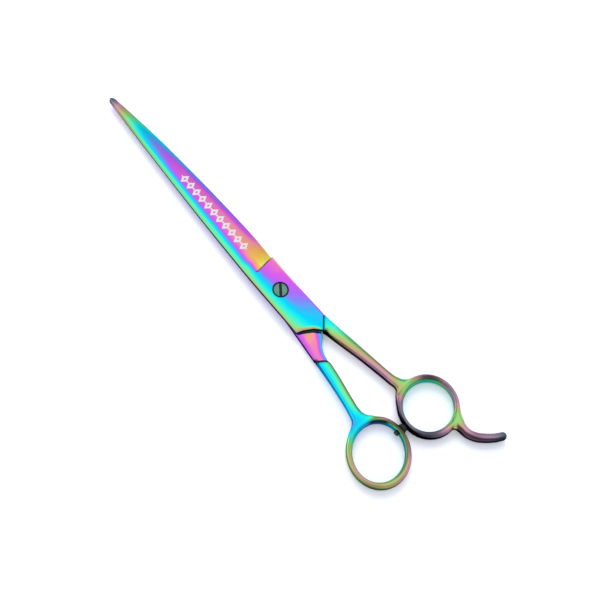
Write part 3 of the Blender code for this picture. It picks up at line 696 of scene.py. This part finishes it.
def film_front_handle(piece, normals):
    """Teal and lime to dusty pink on the shank, mauve round the ring, lime where they meet."""
    x, y, z = vertex_data(piece)[0].T
    lie = handle_places(x, y, normals, FRONT_RING, FRONT_SHANK)
    rest, _, _, along = rest_plan(x, y)
    shank_film = line([
        (-58, 0.09), (-56, 0.07), (-54, 0.0), (-51, -0.10), (-45, -0.10), (-40, -0.03), (-35, 0.03),
        (-30, 0.08), (-25, 0.16), (-22, 0.25), (-20, 0.31), (-18, 0.38)
    ], x)
    shank_film = shank_film - 0.30 * (lie.across - 0.5) * step(x, -18.0, -24.0)
    wire_row = [
        (0, 0.03), (12, 0.08), (22, 0.06), (32, -0.10), (45, -0.31), (60, -0.40), (90, -0.43), (140, -0.45),
        (155, -0.36), (167, -0.24), (180, -0.12), (192, 0.07), (212, 0.08), (225, -0.09), (238, -0.22),
        (270, -0.27), (310, -0.25), (335, -0.2), (347, -0.12), (360, 0.03)
    ]
    ring_film = round_ring(
        lie,
        [(0, 0.18), (15, 0.20), (30, 0.12), (45, -0.3), (60, -0.42), (150, -0.44), (165, -0.3), (180, 0.02),
         (195, 0.12), (210, 0.08), (225, -0.06), (240, -0.22), (270, -0.27), (284, -0.2), (298, 0.15),
         (315, 0.2), (345, 0.22), (360, 0.18)],
        wire_row, wire_row)
    # Painted shade round the ring: how dark its colour is painted at the hole, middle and outline.
    ring_shade = round_ring(
        lie,
        [(0, 0.5), (30, 0.6), (60, 1.0), (105, 0.9), (120, 0.8), (150, 0.65), (165, 0.9), (240, 0.9),
         (270, 0.6), (285, 0.30), (300, 0.14), (315, 0.13), (330, 0.2), (345, 0.4), (360, 0.5)],
        [(0, 0.8), (15, 0.93), (30, 0.85), (60, 0.9), (90, 1.0), (105, 0.98), (120, 0.54), (135, 0.40),
         (150, 0.42), (165, 1.0), (270, 1.0), (285, 0.95), (300, 0.30), (315, 0.08), (330, 0.13),
         (345, 0.7), (360, 0.8)],
        [(0, 0.9), (45, 1.0), (60, 0.8), (75, 0.6), (90, 0.5), (105, 0.27), (120, 0.10), (135, 0.12),
         (150, 0.3), (165, 0.5), (180, 0.6), (195, 1.0), (285, 1.0), (300, 0.9), (315, 0.6), (330, 0.8),
         (345, 0.9), (360, 0.9)])
    rest_film = line([(0, 0.09), (2.6, 0.06), (4.5, -0.08), (6.5, -0.16), (9, -0.20), (14, -0.26),
                      (17, -0.30), (19.5, -0.40), (22, -0.50)], along)
    film = blend_by_depth([lie.ring, lie.shank, rest], [ring_film, shank_film, rest_film],
                          FILM_BLEND)
    inner_film = line([
        (0, 0.34), (60, 0.30), (180, 0.22), (240, 0.24), (300, 0.2), (345, 0.30), (360, 0.34)
    ], lie.angle)
    film = mix(film, inner_film, lie.inner_wall * step(z, 4.2, 2.6))
    # Painted shade on the walls, none on the ring's inner wall, which gets one even painted shade low down.
    shade = mix(wall_shade(normals, 0.5, 0.12, 0.12), 1.0, lie.inner_wall)
    shade *= mix(ring_shade, 1.0, step(lie.ring - np.minimum(lie.shank, rest), -1.0, 1.0))
    shade = mix(shade, 0.75, lie.inner_wall * step(z, 4.4, 3.3))
    # Painted shade on the lower side of the shank.
    on_shank = step(lie.ring - lie.shank, 0.5, 2.0) * step(rest, 0.5, 2.0)
    low_side = step(lie.across, 0.54, 0.25) * step(x, -23.0, -33.0)
    shade = darkened(shade, 0.5, on_shank * low_side)
    # Painted shade at the finger rest's tip and on a patch of it round x = -90.
    shade = darkened(shade, 0.65, step(x, -94.8, -96.6))
    shade = darkened(shade, 0.66, np.exp(-((x + 90.0) / 2.2)**2))
    # Painted shade on the finger rest's side that faces the dark side.
    towards = facing_dark(normals)
    on_rest = step(lie.ring - rest, 0.3, 1.5) * step(lie.shank - rest, 0.0, 1.0)
    shade = darkened(shade, 0.14, on_rest * step(towards, 0.1, 0.5) * step(towards, 1.0, 0.9))
    # Painted shade along the seam with the blade.
    shade = darkened(shade, 0.6, step(seam_distance(x, y, FRONT_SEAM), -0.75, -0.2))
    # Painted shade in the corner where the heel, the shank and the seam meet.
    seam_corner = np.exp(-(x + 23.4)**2 - (y + 2.7)**2)
    paint(piece, film, darkened(shade, 0.1, np.minimum(1.0, 1.3 * seam_corner)))


def film_rear_handle(piece, normals):
    """Cyan on the shank, and lime, gold and salmon round the thumb ring."""
    x, y, z = vertex_data(piece)[0].T
    lie = handle_places(x, y, normals, REAR_RING, REAR_SHANK)
    shank_film = line([
        (-60.5, 0.37), (-58.5, 0.42), (-56.5, 0.36), (-54, 0.26), (-51, 0.17), (-46, 0.15), (-42, 0.19),
        (-38, 0.235), (-34, 0.23), (-31, 0.25)
    ], x)
    shank_film = shank_film + 0.29 * (lie.across - 0.5)
    ring_film = round_ring(
        lie,
        [(0, 0.42), (12, 0.33), (24, 0.22), (40, 0.10), (60, 0.05), (75, 0.0), (105, -0.04), (130, 0.04),
         (150, 0.09), (195, 0.12), (215, 0.07), (240, 0.03), (255, 0.05), (285, 0.09), (300, 0.14),
         (315, 0.30), (330, 0.45), (345, 0.47), (360, 0.42)],
        [(0, 0.29), (12, 0.23), (22, 0.15), (32, 0.10), (45, 0.045), (60, 0.0), (75, -0.04), (90, -0.08),
         (120, -0.075), (135, -0.03), (150, -0.01), (165, 0.03), (180, -0.01), (195, -0.05), (210, -0.11),
         (225, -0.13), (240, -0.15), (255, -0.03), (270, 0.04), (285, 0.0), (300, -0.15), (315, -0.07),
         (328, 0.05), (338, 0.22), (348, 0.32), (360, 0.29)],
        [(0, 0.26), (15, 0.20), (30, 0.09), (45, 0.04), (60, 0.0), (75, -0.01), (90, -0.05), (105, -0.02),
         (120, -0.05), (135, -0.02), (150, 0.0), (165, -0.04), (180, -0.11), (195, -0.14), (240, -0.15),
         (255, -0.03), (285, 0.0), (300, -0.15), (315, -0.12), (330, 0.06), (345, 0.29), (360, 0.26)])
    # Painted shade round the thumb ring: how dark its colour is painted at the hole, middle and outline.
    ring_shade = round_ring(
        lie,
        [(0, 0.75), (30, 0.85), (60, 1.0), (120, 1.0), (135, 0.85), (165, 0.7), (180, 0.5), (195, 0.45),
         (210, 0.45), (225, 0.55), (240, 0.6), (255, 0.5), (270, 0.4), (285, 0.48), (300, 0.25),
         (315, 0.07), (330, 0.14), (345, 0.55), (360, 0.75)],
        [(0, 0.8), (15, 0.75), (30, 0.68), (45, 0.68), (60, 0.8), (75, 0.85), (90, 1.0), (120, 1.0),
         (135, 0.85), (150, 1.0), (210, 1.0), (225, 0.6), (240, 0.4), (255, 0.3), (270, 0.07), (285, 0.03),
         (300, 0.38), (315, 0.72), (330, 0.45), (345, 0.92), (360, 0.8)],
        [(0, 1.0), (75, 1.0), (90, 0.85), (105, 0.7), (120, 0.48), (135, 0.42), (150, 0.55), (180, 0.62),
         (195, 0.8), (240, 0.9), (255, 0.8), (270, 0.5), (285, 0.12), (300, 0.9), (315, 1.0), (360, 1.0)])
    film = blend_by_depth([lie.ring, lie.shank], [ring_film, shank_film], FILM_BLEND)
    inner_film = line([
        (0, 0.5), (40, 0.45), (90, 0.40), (150, 0.32), (180, 0.27), (205, 0.31), (262, 0.33), (290, 0.38),
        (305, 0.45), (320, 0.52), (345, 0.56), (360, 0.5)
    ], lie.angle)
    film = mix(film, inner_film, lie.inner_wall * step(z, 4.7, 3.6))
    off_shank = lie.ring - lie.shank
    outer_wall = step(off_shank, 1.0, -1.0) * step(lie.wire, 0.6, 0.95) * step(z, 4.4, 3.4)
    film = mix(film, 0.09, outer_wall * step(lie.angle, 25, 40) * step(lie.angle, 170, 150))
    far_edge = step(normals[:, 2], 0.8, 0.45) * step(normals[:, 1], 0.1, 0.6)
    film = mix(film, 0.45, 0.8 * far_edge * step(x, -57, -52))
    # Painted shade on the walls, none on the ring's inner wall, which gets one even painted shade low down.
    shade = mix(wall_shade(normals, 0.5, 0.12, 0.7), 1.0, lie.inner_wall)
    shade *= mix(ring_shade, 1.0, step(off_shank, -1.0, 1.0))
    shade = mix(shade, 0.5, lie.inner_wall * step(z, 4.5, 3.5))
    # Painted shade: a dark arc on the thumb ring's inner wall.
    dark_arc = step(np.abs(lie.angle - 320.0), 22.0, 12.0) * step(lie.hole, -1.2, -0.4)
    shade = darkened(shade, 0.08, dark_arc * step(z, 3.0, 4.2))
    # Painted shade on the handle's rounded end over the tang.
    shade = darkened(shade, 0.1, step(seam_distance(x, y, REAR_SEAM), -1.8, -0.9))
    # Painted shade on the lower side of the shank.
    low_side = step(lie.across, 0.46, 0.22) * step(x, -58.0, -54.0)
    paint(piece, film, darkened(shade, 0.6, step(off_shank, 0.5, 2.0) * low_side))


# ---------------------------------------------------------------- materials

class Graph:
    """A node tree, with a short call for each kind of node that the looks use."""

    def __init__(self, tree, coordinates):
        self.tree = tree
        self.place = self.node("TexCoord", coordinates, {})

    def feed(self, node, inputs):
        """Set a node's inputs, each from another node's output or from a constant."""
        for name, value in inputs.items():
            if isinstance(value, bpy.types.NodeSocket):
                self.tree.links.new(value, node.inputs[name])
            else:
                node.inputs[name].default_value = value

    def node(self, kind, output, inputs, **settings):
        """Add a node and give back one of its outputs."""
        made = self.tree.nodes.new("ShaderNode" + kind)
        for name, value in settings.items():
            setattr(made, name, value)
        self.feed(made, inputs)
        return made.outputs[output]

    def math(self, operation, *values):
        return self.node("Math", 0, dict(enumerate(values)), operation=operation)

    def ranged(self, value, low, high, new_low, new_high):
        return self.node("MapRange", "Result", {"Value": value, "From Min": low, "From Max": high,
                                                "To Min": new_low, "To Max": new_high})

    def from_noise(self, noise, new_low, new_high, margin=0.3):
        """The part of a noise between two equal margins, stretched to a new range."""
        return self.ranged(noise, margin, 1.0 - margin, new_low, new_high)

    def mix(self, share, a, b):
        return self.node("Mix", "Result", {"Factor": share, "A": a, "B": b}, data_type="RGBA")

    def noise(self, scale, detail, stretch=(1.0, 1.0, 1.0)):
        """Noise over the object's own space; stretch above 1 makes it finer that way."""
        where = self.node("Mapping", "Vector", {"Vector": self.place, "Scale": stretch})
        return self.node("TexNoise", "Fac", {"Vector": where, "Scale": scale, "Detail": detail})

    def ramp(self, value, stops):
        """A colour ramp with stops of (place, linear colour)."""
        made = self.tree.nodes.new("ShaderNodeValToRGB")
        elements = made.color_ramp.elements
        elements[0].position, elements[1].position = stops[0][0], stops[-1][0]
        for place_at, _ in stops[1:-1]:
            elements.new(place_at)
        for element, (_, colour) in zip(elements, stops):
            element.color = (*colour, 1.0)
        self.feed(made, {"Fac": value})
        return made.outputs["Color"]

    def axes(self):
        """The x, y and z of a place."""
        apart = self.tree.nodes.new("ShaderNodeSeparateXYZ")
        self.feed(apart, {"Vector": self.place})
        return apart.outputs

    def vertex(self, name):
        """A number that paint() stored on the vertices."""
        return self.node("Attribute", "Fac", {}, attribute_type="GEOMETRY", attribute_name=name)

    def bump(self, height, strength, depth):
        return self.node("Bump", "Normal", {"Height": height, "Strength": strength,
                                            "Distance": depth * MM})


def new_material(name, surface):
    """A material whose shader inputs come from a function of its node graph."""
    made = bpy.data.materials.new(name)
    made.use_nodes = True
    graph = Graph(made.node_tree, "Object")
    graph.feed(made.node_tree.nodes["Principled BSDF"], surface(graph))
    return made


def coated_steel(name, lines, smoothest, roughest, etched=False):
    """Polished steel under a rainbow coating, with fine polishing lines along the piece."""
    def surface(graph):
        broad = graph.noise(260.0, 2.0)
        fine = graph.noise(900.0, 4.0, lines)
        film = graph.math("ADD", graph.vertex("film"), graph.from_noise(broad, -0.010, 0.010))
        film = graph.math("ADD", film, graph.from_noise(fine, -0.004, 0.004))
        stops = [((order - FILM_LOW) / (FILM_HIGH - FILM_LOW), [linear(part) for part in colour])
                 for order, colour in FILM_COLOURS]
        colour = graph.ramp(graph.ranged(film, FILM_LOW, FILM_HIGH, 0.0, 1.0), stops)
        # The painted shade on the vertices darkens the film colour towards UNLIT_FILM.
        colour = graph.mix(graph.vertex("shade"), UNLIT_FILM, colour)
        roughness = graph.from_noise(fine, smoothest, roughest)
        height = graph.math("MULTIPLY", fine, 0.5)
        if etched:
            mark = etched_row(graph)
            colour = graph.mix(mark, colour, ETCHED_WHITE)
            roughness = graph.math("ADD", roughness, graph.math("MULTIPLY", mark, 0.35))
            height = graph.math("SUBTRACT", height, graph.math("MULTIPLY", mark, 2.0))
        return {"Base Color": colour, "Roughness": roughness, "Metallic": 1.0,
                "Specular Tint": (0.25, 0.25, 0.30, 1.0), "Normal": graph.bump(height, 0.12, 0.02)}
    return new_material(name, surface)


def etched_row(graph):
    """1 on the etched shapes and 0 off them, on the blade's upper face only."""
    x, y, z = (graph.math("DIVIDE", axis, MM) for axis in graph.axes())
    end = ETCH_START + ETCH_PITCH * ETCH_COUNT
    run = graph.math("DIVIDE", graph.math("SUBTRACT", x, ETCH_START), ETCH_PITCH)
    from_middle = graph.math("SUBTRACT", graph.math("FRACT", run), 0.5)
    across = graph.math("ABSOLUTE", graph.math("MULTIPLY", from_middle, ETCH_PITCH))
    up = graph.math("ABSOLUTE", graph.math("SUBTRACT", y, ETCH_MIDDLE))
    reach = graph.math("ADD", graph.math("DIVIDE", across, ETCH_HALF_WIDTH),
                       graph.math("DIVIDE", up, ETCH_HALF_HEIGHT))
    lozenge = graph.ranged(reach, 1.0 - ETCH_BLUR, 1.0 + ETCH_BLUR, 1.0, 0.0)
    heart = graph.ranged(reach, ETCH_HEART - 0.05, ETCH_HEART + 0.05, 0.0, 1.0)
    gap = graph.math("SUBTRACT", ETCH_PITCH / 2, across)
    squares = graph.math("ADD", graph.math("POWER", gap, 2.0), graph.math("POWER", up, 2.0))
    dot = graph.ranged(graph.math("SQRT", squares), ETCH_DOT - ETCH_BLUR, ETCH_DOT + ETCH_BLUR,
                       1.0, 0.0)
    mark = graph.math("MAXIMUM", graph.math("MULTIPLY", lozenge, heart), dot)
    inside = graph.math("MULTIPLY", graph.math("GREATER_THAN", x, ETCH_START),
                        graph.math("LESS_THAN", x, end))
    on_top = graph.math("GREATER_THAN", z, FRONT_BOTTOM + EDGE_THICKNESS + 0.05)
    return graph.math("MULTIPLY", mark, graph.math("MULTIPLY", inside, on_top))


def plain_metal(name, dark, light, roughness, shaded=False):
    """Bare or thinly coated turned metal, with turning marks in its tone and gloss."""
    def surface(graph):
        fine = graph.noise(1400.0, 3.0)
        colour = graph.mix(graph.from_noise(fine, 0.0, 1.0, 0.35), (*dark, 1.0), (*light, 1.0))
        # When shaded, the painted shade on the vertices darkens the colour.
        if shaded:
            colour = graph.mix(graph.vertex("shade"), UNLIT_SCREW, colour)
        return {"Base Color": colour, "Metallic": 1.0, "Normal": graph.bump(fine, 0.2, 0.01),
                "Roughness": graph.from_noise(fine, roughness - 0.05, roughness + 0.08)}
    return new_material(name, surface)


def moulded(name, dark, light, roughness, grain):
    """Rubber or nylon with a slight moulded grain."""
    def surface(graph):
        fine = graph.noise(grain, 4.0)
        tone = graph.from_noise(graph.noise(grain / 6, 2.0), 0.0, 1.0)
        return {"Base Color": graph.mix(tone, (*dark, 1.0), (*light, 1.0)),
                "Roughness": graph.from_noise(fine, roughness - 0.08, roughness + 0.08),
                "Specular IOR Level": 0.4, "Normal": graph.bump(fine, 0.35, 0.02)}
    return new_material(name, surface)


def paper(graph):
    """The studio floor: matt, faintly blue, and a little lit from below."""
    return {"Base Color": graph.mix(graph.noise(4.0, 2.0), (0.87, 0.89, 0.96, 1.0),
                                    (0.89, 0.91, 0.97, 1.0)),
            "Roughness": 0.8, "Specular IOR Level": 0.1,
            "Emission Color": (0.92, 0.95, 1.0, 1.0), "Emission Strength": 0.17}


# ---------------------------------------------------------------- pieces

def place(piece, body, node, material):
    """Give a piece its material and its body, and hide the CAD node that it stands for."""
    piece.data.materials.append(material)
    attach(piece, body)
    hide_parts(node)


def spread(start, end, spacing):
    return np.linspace(start, end, max(2, int(round(abs(end - start) / spacing)) + 1))


def tip_width(x, tip):
    past = np.maximum(x - (tip - TIP_ROUNDING), 0.0) / TIP_ROUNDING
    return np.sqrt(np.maximum(1.0 - past * past, 0.0025))


def front_top(x, share, heel_gap):
    """Height of the front blade's upper face."""
    flat = FRONT_TOP - SPINE_EASE * step(share, 0.88, 1.0) - EDGE_EASE * step(share, 0.035, 0.0)
    near_heel = np.clip(1 - heel_gap / HEEL_REACH, 0.0, 1.0)
    flat = flat - HEEL_EASE * (1 - np.sqrt(1 - near_heel**2))
    at = np.maximum(x, GRIND_FROM)
    spine, bevel = curve(FRONT_SPINE_HEIGHT, at), curve(FRONT_BEVEL_HEIGHT, at)
    edge = FRONT_BOTTOM + EDGE_THICKNESS
    rise = share_between(share, BEVEL_SHARE, RIDGE_SHARE)
    hollow = bevel + (spine - bevel) * (1 - (1 - rise)**1.8)
    sloped = edge + (bevel - edge) * share / BEVEL_SHARE
    fall = spine - SPINE_FALL * share_between(share, RIDGE_SHARE, 1.0)**2
    ground = np.where(share < BEVEL_SHARE, sloped, np.where(share < RIDGE_SHARE, hollow, fall))
    cut_in = step(x - line(STEP_LINE, share), 0.0, STEP_RUN)
    return mix(flat, ground, np.where(share > RIDGE_SHARE, step(x, *SPINE_STEP), cut_in))


def make_front_blade(material):
    """A grid of stations along the blade and shares across it, with its heel joined on."""
    shares = np.concatenate([[0.0, 0.008, 0.018, 0.035, 0.06, 0.09, 0.118, 0.13, 0.142],
                             np.linspace(0.165, 0.735, 30),
                             [0.75, 0.765, 0.79, 0.82, 0.85, 0.88, 0.905, 0.93, 0.95, 0.965,
                              0.978, 0.989, 1.0]])
    step_x = STEP_LINE[0][1]
    skew = line(STEP_LINE, shares) - step_x
    stations = np.concatenate([spread(STRAIGHT_FROM, step_x - 0.15, 0.5), [step_x],
                               step_x + STEP_RUN * np.array([0.15, 0.3, 0.45, 0.6, 0.75, 0.9, 1.0]),
                               spread(step_x + STEP_RUN + 0.3, BLADE_TIP - TIP_ROUNDING, 0.55),
                               BLADE_TIP - TIP_ROUNDING * np.array([0.85, 0.7, 0.55, 0.4, 0.28,
                                                                    0.18, 0.1, 0.045, 0.012, 0.0])])
    fade = step(stations, STRAIGHT_FROM, 4.0) * step(stations, 40.0, 16.0)
    x = stations[:, None] + fade[:, None] * skew[None, :]
    low, high = curve(FRONT_EDGE, x), curve(FRONT_SPINE, x)
    middle, half = (low + high) / 2, (high - low) / 2 * tip_width(x, BLADE_TIP)
    y = middle + half * (2 * shares[None, :] - 1)
    heel_x, heel_y = (line([(knot[0], knot[k]) for knot in FRONT_HEEL], shares) for k in (1, 2))
    heel_shares = np.concatenate([[0.0, 0.006, 0.014, 0.025, 0.04], np.linspace(0.065, 0.97, 24)])
    heel_rows_x = mix(heel_x[None, :], x[:1], heel_shares[:, None])
    heel_rows_y = mix(heel_y[None, :], y[:1], heel_shares[:, None])
    gap = np.concatenate([heel_shares[:, None] * (x[:1] - heel_x[None, :]),
                          np.full(x.shape, 9.0)])
    x = np.concatenate([heel_rows_x, x])
    y = np.concatenate([heel_rows_y, y])
    top = front_top(x, np.broadcast_to(shares, x.shape), gap)
    blade = grid_solid("front_blade_steel", x, y, top, np.full(x.shape, FRONT_BOTTOM))
    bore = turned("bush_bore", [(BUSH_HOLE_RADIUS, CUT_FROM),
                                (BUSH_HOLE_RADIUS, COUNTERBORE_FLOOR),
                                (COUNTERBORE_RADIUS, COUNTERBORE_FLOOR),
                                (COUNTERBORE_RADIUS, FRONT_TOP - 0.06),
                                (COUNTERBORE_RADIUS + 0.1, FRONT_TOP + 0.04),
                                (COUNTERBORE_RADIUS + 0.1, CUT_TO)])
    cut(blade, bore, 28.0)
    film_front_blade(blade)
    place(blade, "front_half", "front_blade", material)


def tooth_slots():
    """Cutters for the round-rooted slots between the teeth and the nick in each tooth's end."""
    outlines = []
    reach, radius = 3.0, TOOTH_GAP / 2
    for tooth in range(TOOTH_COUNT):
        x = FIRST_TOOTH + TOOTH_PITCH * tooth
        tip_y = float(curve(REAR_TEETH, x))
        root_y = tip_y - TOOTH_LENGTH_SHARE * (tip_y - float(curve(REAR_SPINE, x)))
        outlines.append([(x + radius, tip_y + reach), (x - radius, tip_y + reach)]
                        + [(x + radius * math.cos(turn), root_y + radius * (1 + math.sin(turn)))
                           for turn in np.linspace(math.pi, 2 * math.pi, 9)])
        if tooth < TOOTH_COUNT - 1:
            x += TOOTH_PITCH / 2
            y = float(curve(REAR_TEETH, x))
            outlines.append([(x, y - NICK_DEPTH), (x + NICK_WIDTH / 2, y + NICK_DEPTH),
                             (x - NICK_WIDTH / 2, y + NICK_DEPTH)])
    return prisms("tooth_slots", outlines, CUT_FROM, CUT_TO)


def rear_bottom(x, share):
    """Height of the rear blade's underside."""
    at = np.maximum(x, GRIND_FROM)
    spine, bevel = curve(REAR_SPINE_HEIGHT, at), curve(REAR_BEVEL_HEIGHT, at)
    back = spine + REAR_SPINE_EASE * share_between(share, REAR_RIDGE_SHARE, 0.0)**2
    hollow = spine + (bevel - spine) * share_between(share, REAR_RIDGE_SHARE, 1.0)**1.6
    ground = np.where(share < REAR_RIDGE_SHARE, back, hollow) * step(x, *REAR_STEP)
    corner = EDGE_EASE * (step(share, 0.03, 0.0) + step(share, 0.97, 1.0)) * step(x, 11.0, 9.0)
    return ground + corner


def make_rear_blade(material):
    """The same kind of grid, with the tang joined on and the slots between its teeth cut."""
    shares = np.concatenate([[0.0, 0.008, 0.018, 0.03, 0.06, 0.1], np.linspace(0.14, 0.9, 20),
                             [0.94, 0.97, 0.982, 0.992, 1.0]])
    stations = np.concatenate([spread(STRAIGHT_FROM, 10.6, 0.8),
                               [10.9, 11.05, 11.2, 11.35, 11.5, 11.65, 11.8],
                               spread(12.3, REAR_TIP - TIP_ROUNDING, 0.8),
                               REAR_TIP - TIP_ROUNDING * np.array([0.8, 0.6, 0.42, 0.28, 0.16,
                                                                   0.08, 0.03, 0.0])])
    x = np.repeat(stations[:, None], len(shares), 1)
    low, high = curve(REAR_SPINE, x), curve(REAR_TEETH, x)
    y = (low + high) / 2 + (high - low) / 2 * tip_width(x, REAR_TIP) * (2 * shares[None, :] - 1)
    rungs = np.array([low + high for low, high in reversed(TANG_RUNGS)], float)
    fine = np.linspace(0, len(rungs) - 1, 46)
    rungs = np.stack([np.interp(fine, range(len(rungs)), rungs[:, k]) for k in range(4)], -1)
    tang_x = mix(rungs[:, :1], rungs[:, 2:3], shares[None, :])
    tang_y = mix(rungs[:, 1:2], rungs[:, 3:4], shares[None, :])
    x, y = np.concatenate([tang_x, x]), np.concatenate([tang_y, y])
    every = np.broadcast_to(shares, x.shape)
    bottom = rear_bottom(x, every)
    top = REAR_TOP - 0.25 * (step(every, 0.03, 0.0) + step(every, 0.97, 1.0)) * step(x, 5.0, 0.0)
    blade = grid_solid("rear_blade_steel", x, y, top, bottom)
    chamfer = 0.2
    hole = turned("tapped_hole", [(THREAD_HOLE_RADIUS + chamfer, CUT_FROM),
                                  (THREAD_HOLE_RADIUS + chamfer, 0.0),
                                  (THREAD_HOLE_RADIUS, chamfer), (THREAD_HOLE_RADIUS, 2.0),
                                  (THREAD_HOLE_RADIUS, WASHER_RECESS_FLOOR),
                                  (WASHER_RECESS_RADIUS, WASHER_RECESS_FLOOR),
                                  (WASHER_RECESS_RADIUS, CUT_TO)])
    cut(blade, tooth_slots(), 28.0)
    cut(blade, hole, 28.0)
    film_rear_blade(blade)
    place(blade, "rear_half", "rear_blade", material)


def make_handle(name, field, low, high, painter, body, node, material):
    points, quads = surface_net(field, low, high, NET_STEP)
    points = settle(field, points)
    normals = slope(field, points)
    normals /= np.maximum(np.linalg.norm(normals, axis=-1, keepdims=True), 1e-9)
    handle = add_object(name, points, quads.tolist(), 60.0)
    painter(handle, normals)
    place(handle, body, node, material)


def make_screw(material):
    """Domed slotted head, plain shank and a cut thread, its end flush with the rear blade."""
    thread = []
    for z in np.arange(*THREAD_SPAN, THREAD_PITCH / 8):
        phase = (z / THREAD_PITCH) % 1.0
        thread.append((THREAD_ROOT + THREAD_DEPTH * (1 - abs(2 * phase - 1)), z))
    profile = [(0.6, 0.03), (1.22, 0.0), (1.36, 0.12), *thread, (1.36, 2.34), SCREW_HEAD[0],
               *rounded(SCREW_HEAD, 0.22)[1:]]
    screw = turned("pivot_screw_body", profile)
    reach, half = 4.5, SLOT_WIDTH / 2
    outline = [(-reach, -half), (reach, -half), (reach, half), (-reach, half)]
    slot = prisms("screw_slot", [outline], SLOT_FLOOR, CUT_TO)
    slot.rotation_euler = (0.0, 0.0, SLOT_ANGLE)
    cut(screw, slot, 30.0)
    # Painted shade: a dark ring round the head's rim and a darker slot floor; below the head it stays
    # nearly full.
    x, y, z = vertex_data(screw)[0].T
    rim = step(np.hypot(x, y), 2.4, 2.75)
    shade = mix(1.0, 0.22, rim) * mix(0.38, 1.0, step(z, SLOT_FLOOR + 0.05, 5.3))
    paint(screw, np.zeros(len(z)), np.where(z < 4.5, 0.9, shade))
    place(screw, "pivot_fastener", "pivot_screw", material)


def make_bumper(material):
    bumper = turned("rubber_bumper", rounded(BUMPER_PROFILE, 0.2), 64)
    bumper.data.transform(Matrix.Translation((MM * BUMPER_X, 0.0, MM * MIDDLE))
                          @ Matrix.Rotation(math.radians(-90.0), 4, "X"))
    place(bumper, "rear_half", "bumper", material)


def dress_hidden_nodes():
    """The washers and the bush are right as they are and only need their materials."""
    looks = {
        "tension_washer": plain_metal("sprung_steel", (0.42, 0.42, 0.44), (0.62, 0.62, 0.64), 0.3),
        "pivot_bushing": moulded("nylon_bush", (0.70, 0.68, 0.62), (0.78, 0.76, 0.70), 0.45, 900.0),
        "glide_washer": moulded("nylon_glide", (0.74, 0.74, 0.68), (0.82, 0.82, 0.76), 0.4, 900.0),
    }
    for node, material in looks.items():
        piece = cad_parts[node]
        piece.data.materials.clear()
        piece.data.materials.append(material)
        for slot in piece.material_slots:
            slot.material = material


# ---------------------------------------------------------------- stage, light and camera

CAMERA_TARGET = Vector((-6.749, -4.895, 0.0))
CAMERA_DISTANCE = 702.7
CAMERA_AZIMUTH = math.radians(120.57)
CAMERA_TILT = math.radians(21.0)
CAMERA_ROLL = math.radians(20.0)
LENS = 110.0
FLOOR_REACH = 1500.0
SKY_STOPS = [(0.0, (0.58, 0.60, 0.66)), (0.5, (0.76, 0.78, 0.83)), (0.85, (0.97, 0.98, 1.0))]

# The lamp is in metres and watts.
LAMP_PLACE = Vector((0.47, -0.34, 0.66))
LAMP_SIZE = 0.7
LAMP_POWER = 5.4


def make_camera():
    """Nearly overhead, leaning towards the thumb ring, with the tips at the upper left."""
    lens = bpy.data.cameras.new("camera")
    lens.lens = LENS
    lens.sensor_width = 36.0
    lens.clip_start = 0.01
    camera = bpy.data.objects.new("camera", lens)
    bpy.context.collection.objects.link(camera)
    away = Vector((math.sin(CAMERA_TILT) * math.cos(CAMERA_AZIMUTH),
                   math.sin(CAMERA_TILT) * math.sin(CAMERA_AZIMUTH), math.cos(CAMERA_TILT)))
    side = Vector((0.0, 0.0, 1.0)).cross(away).normalized()
    up = away.cross(side)
    across = math.cos(CAMERA_ROLL) * side + math.sin(CAMERA_ROLL) * up
    upward = -math.sin(CAMERA_ROLL) * side + math.cos(CAMERA_ROLL) * up
    turn = Matrix((across, upward, away)).transposed().to_4x4()
    camera.matrix_world = Matrix.Translation((CAMERA_TARGET + away * CAMERA_DISTANCE) * MM) @ turn
    bpy.context.scene.camera = camera


def make_stage():
    """A floor just under the shears, a pale sky and one soft lamp."""
    below = -0.03
    corners = [(-1, -1), (1, -1), (1, 1), (-1, 1)]
    floor = add_object("studio_floor", [(FLOOR_REACH * x, FLOOR_REACH * y, below)
                                        for x, y in corners], [(0, 1, 2, 3)])
    floor.data.materials.append(new_material("studio_floor", paper))
    world = bpy.data.worlds.new("studio")
    world.use_nodes = True
    graph = Graph(world.node_tree, "Generated")
    graph.feed(world.node_tree.nodes["Background"],
               {"Color": graph.ramp(graph.axes()["Z"], SKY_STOPS), "Strength": 1.0})
    bpy.context.scene.world = world
    lamp = bpy.data.lights.new("softbox", "AREA")
    lamp.shape = "RECTANGLE"
    lamp.size = lamp.size_y = LAMP_SIZE
    lamp.energy = LAMP_POWER
    lamp.color = (1.0, 0.99, 0.97)
    softbox = bpy.data.objects.new("softbox", lamp)
    bpy.context.collection.objects.link(softbox)
    softbox.location = LAMP_PLACE
    softbox.rotation_euler = LAMP_PLACE.to_track_quat("Z", "Y").to_euler()
    softbox.visible_glossy = False
    bpy.context.scene.view_settings.view_transform = "Standard"


def main():
    make_camera()
    make_stage()
    along = (0.12, 1.0, 1.0)
    blade_steel = coated_steel("coated_blade", along, 0.16, 0.24, etched=True)
    plain_steel = coated_steel("coated_rear_blade", along, 0.05, 0.09)
    wire_steel = coated_steel("coated_handle", (0.35, 1.0, 1.0), 0.16, 0.24)
    screw_steel = plain_metal("coated_screw", (0.13, 0.27, 0.20), (0.20, 0.38, 0.30), 0.3,
                              shaded=True)
    rubber = moulded("black_rubber", (0.010, 0.010, 0.011), (0.022, 0.022, 0.024), 0.55, 1200.0)
    make_front_blade(blade_steel)
    make_rear_blade(plain_steel)
    make_handle("front_handle_steel", front_handle_field, (-99.0, -31.5, -0.4), (-16.0, -0.6, 5.7),
                film_front_handle, "front_half", "front_handle", wire_steel)
    make_handle("rear_handle_steel", rear_handle_field, (-87.0, -1.4, -0.4), (-28.0, 26.2, 5.7),
                film_rear_handle, "rear_half", "rear_handle", wire_steel)
    make_screw(screw_steel)
    make_bumper(rubber)
    dress_hidden_nodes()


main()
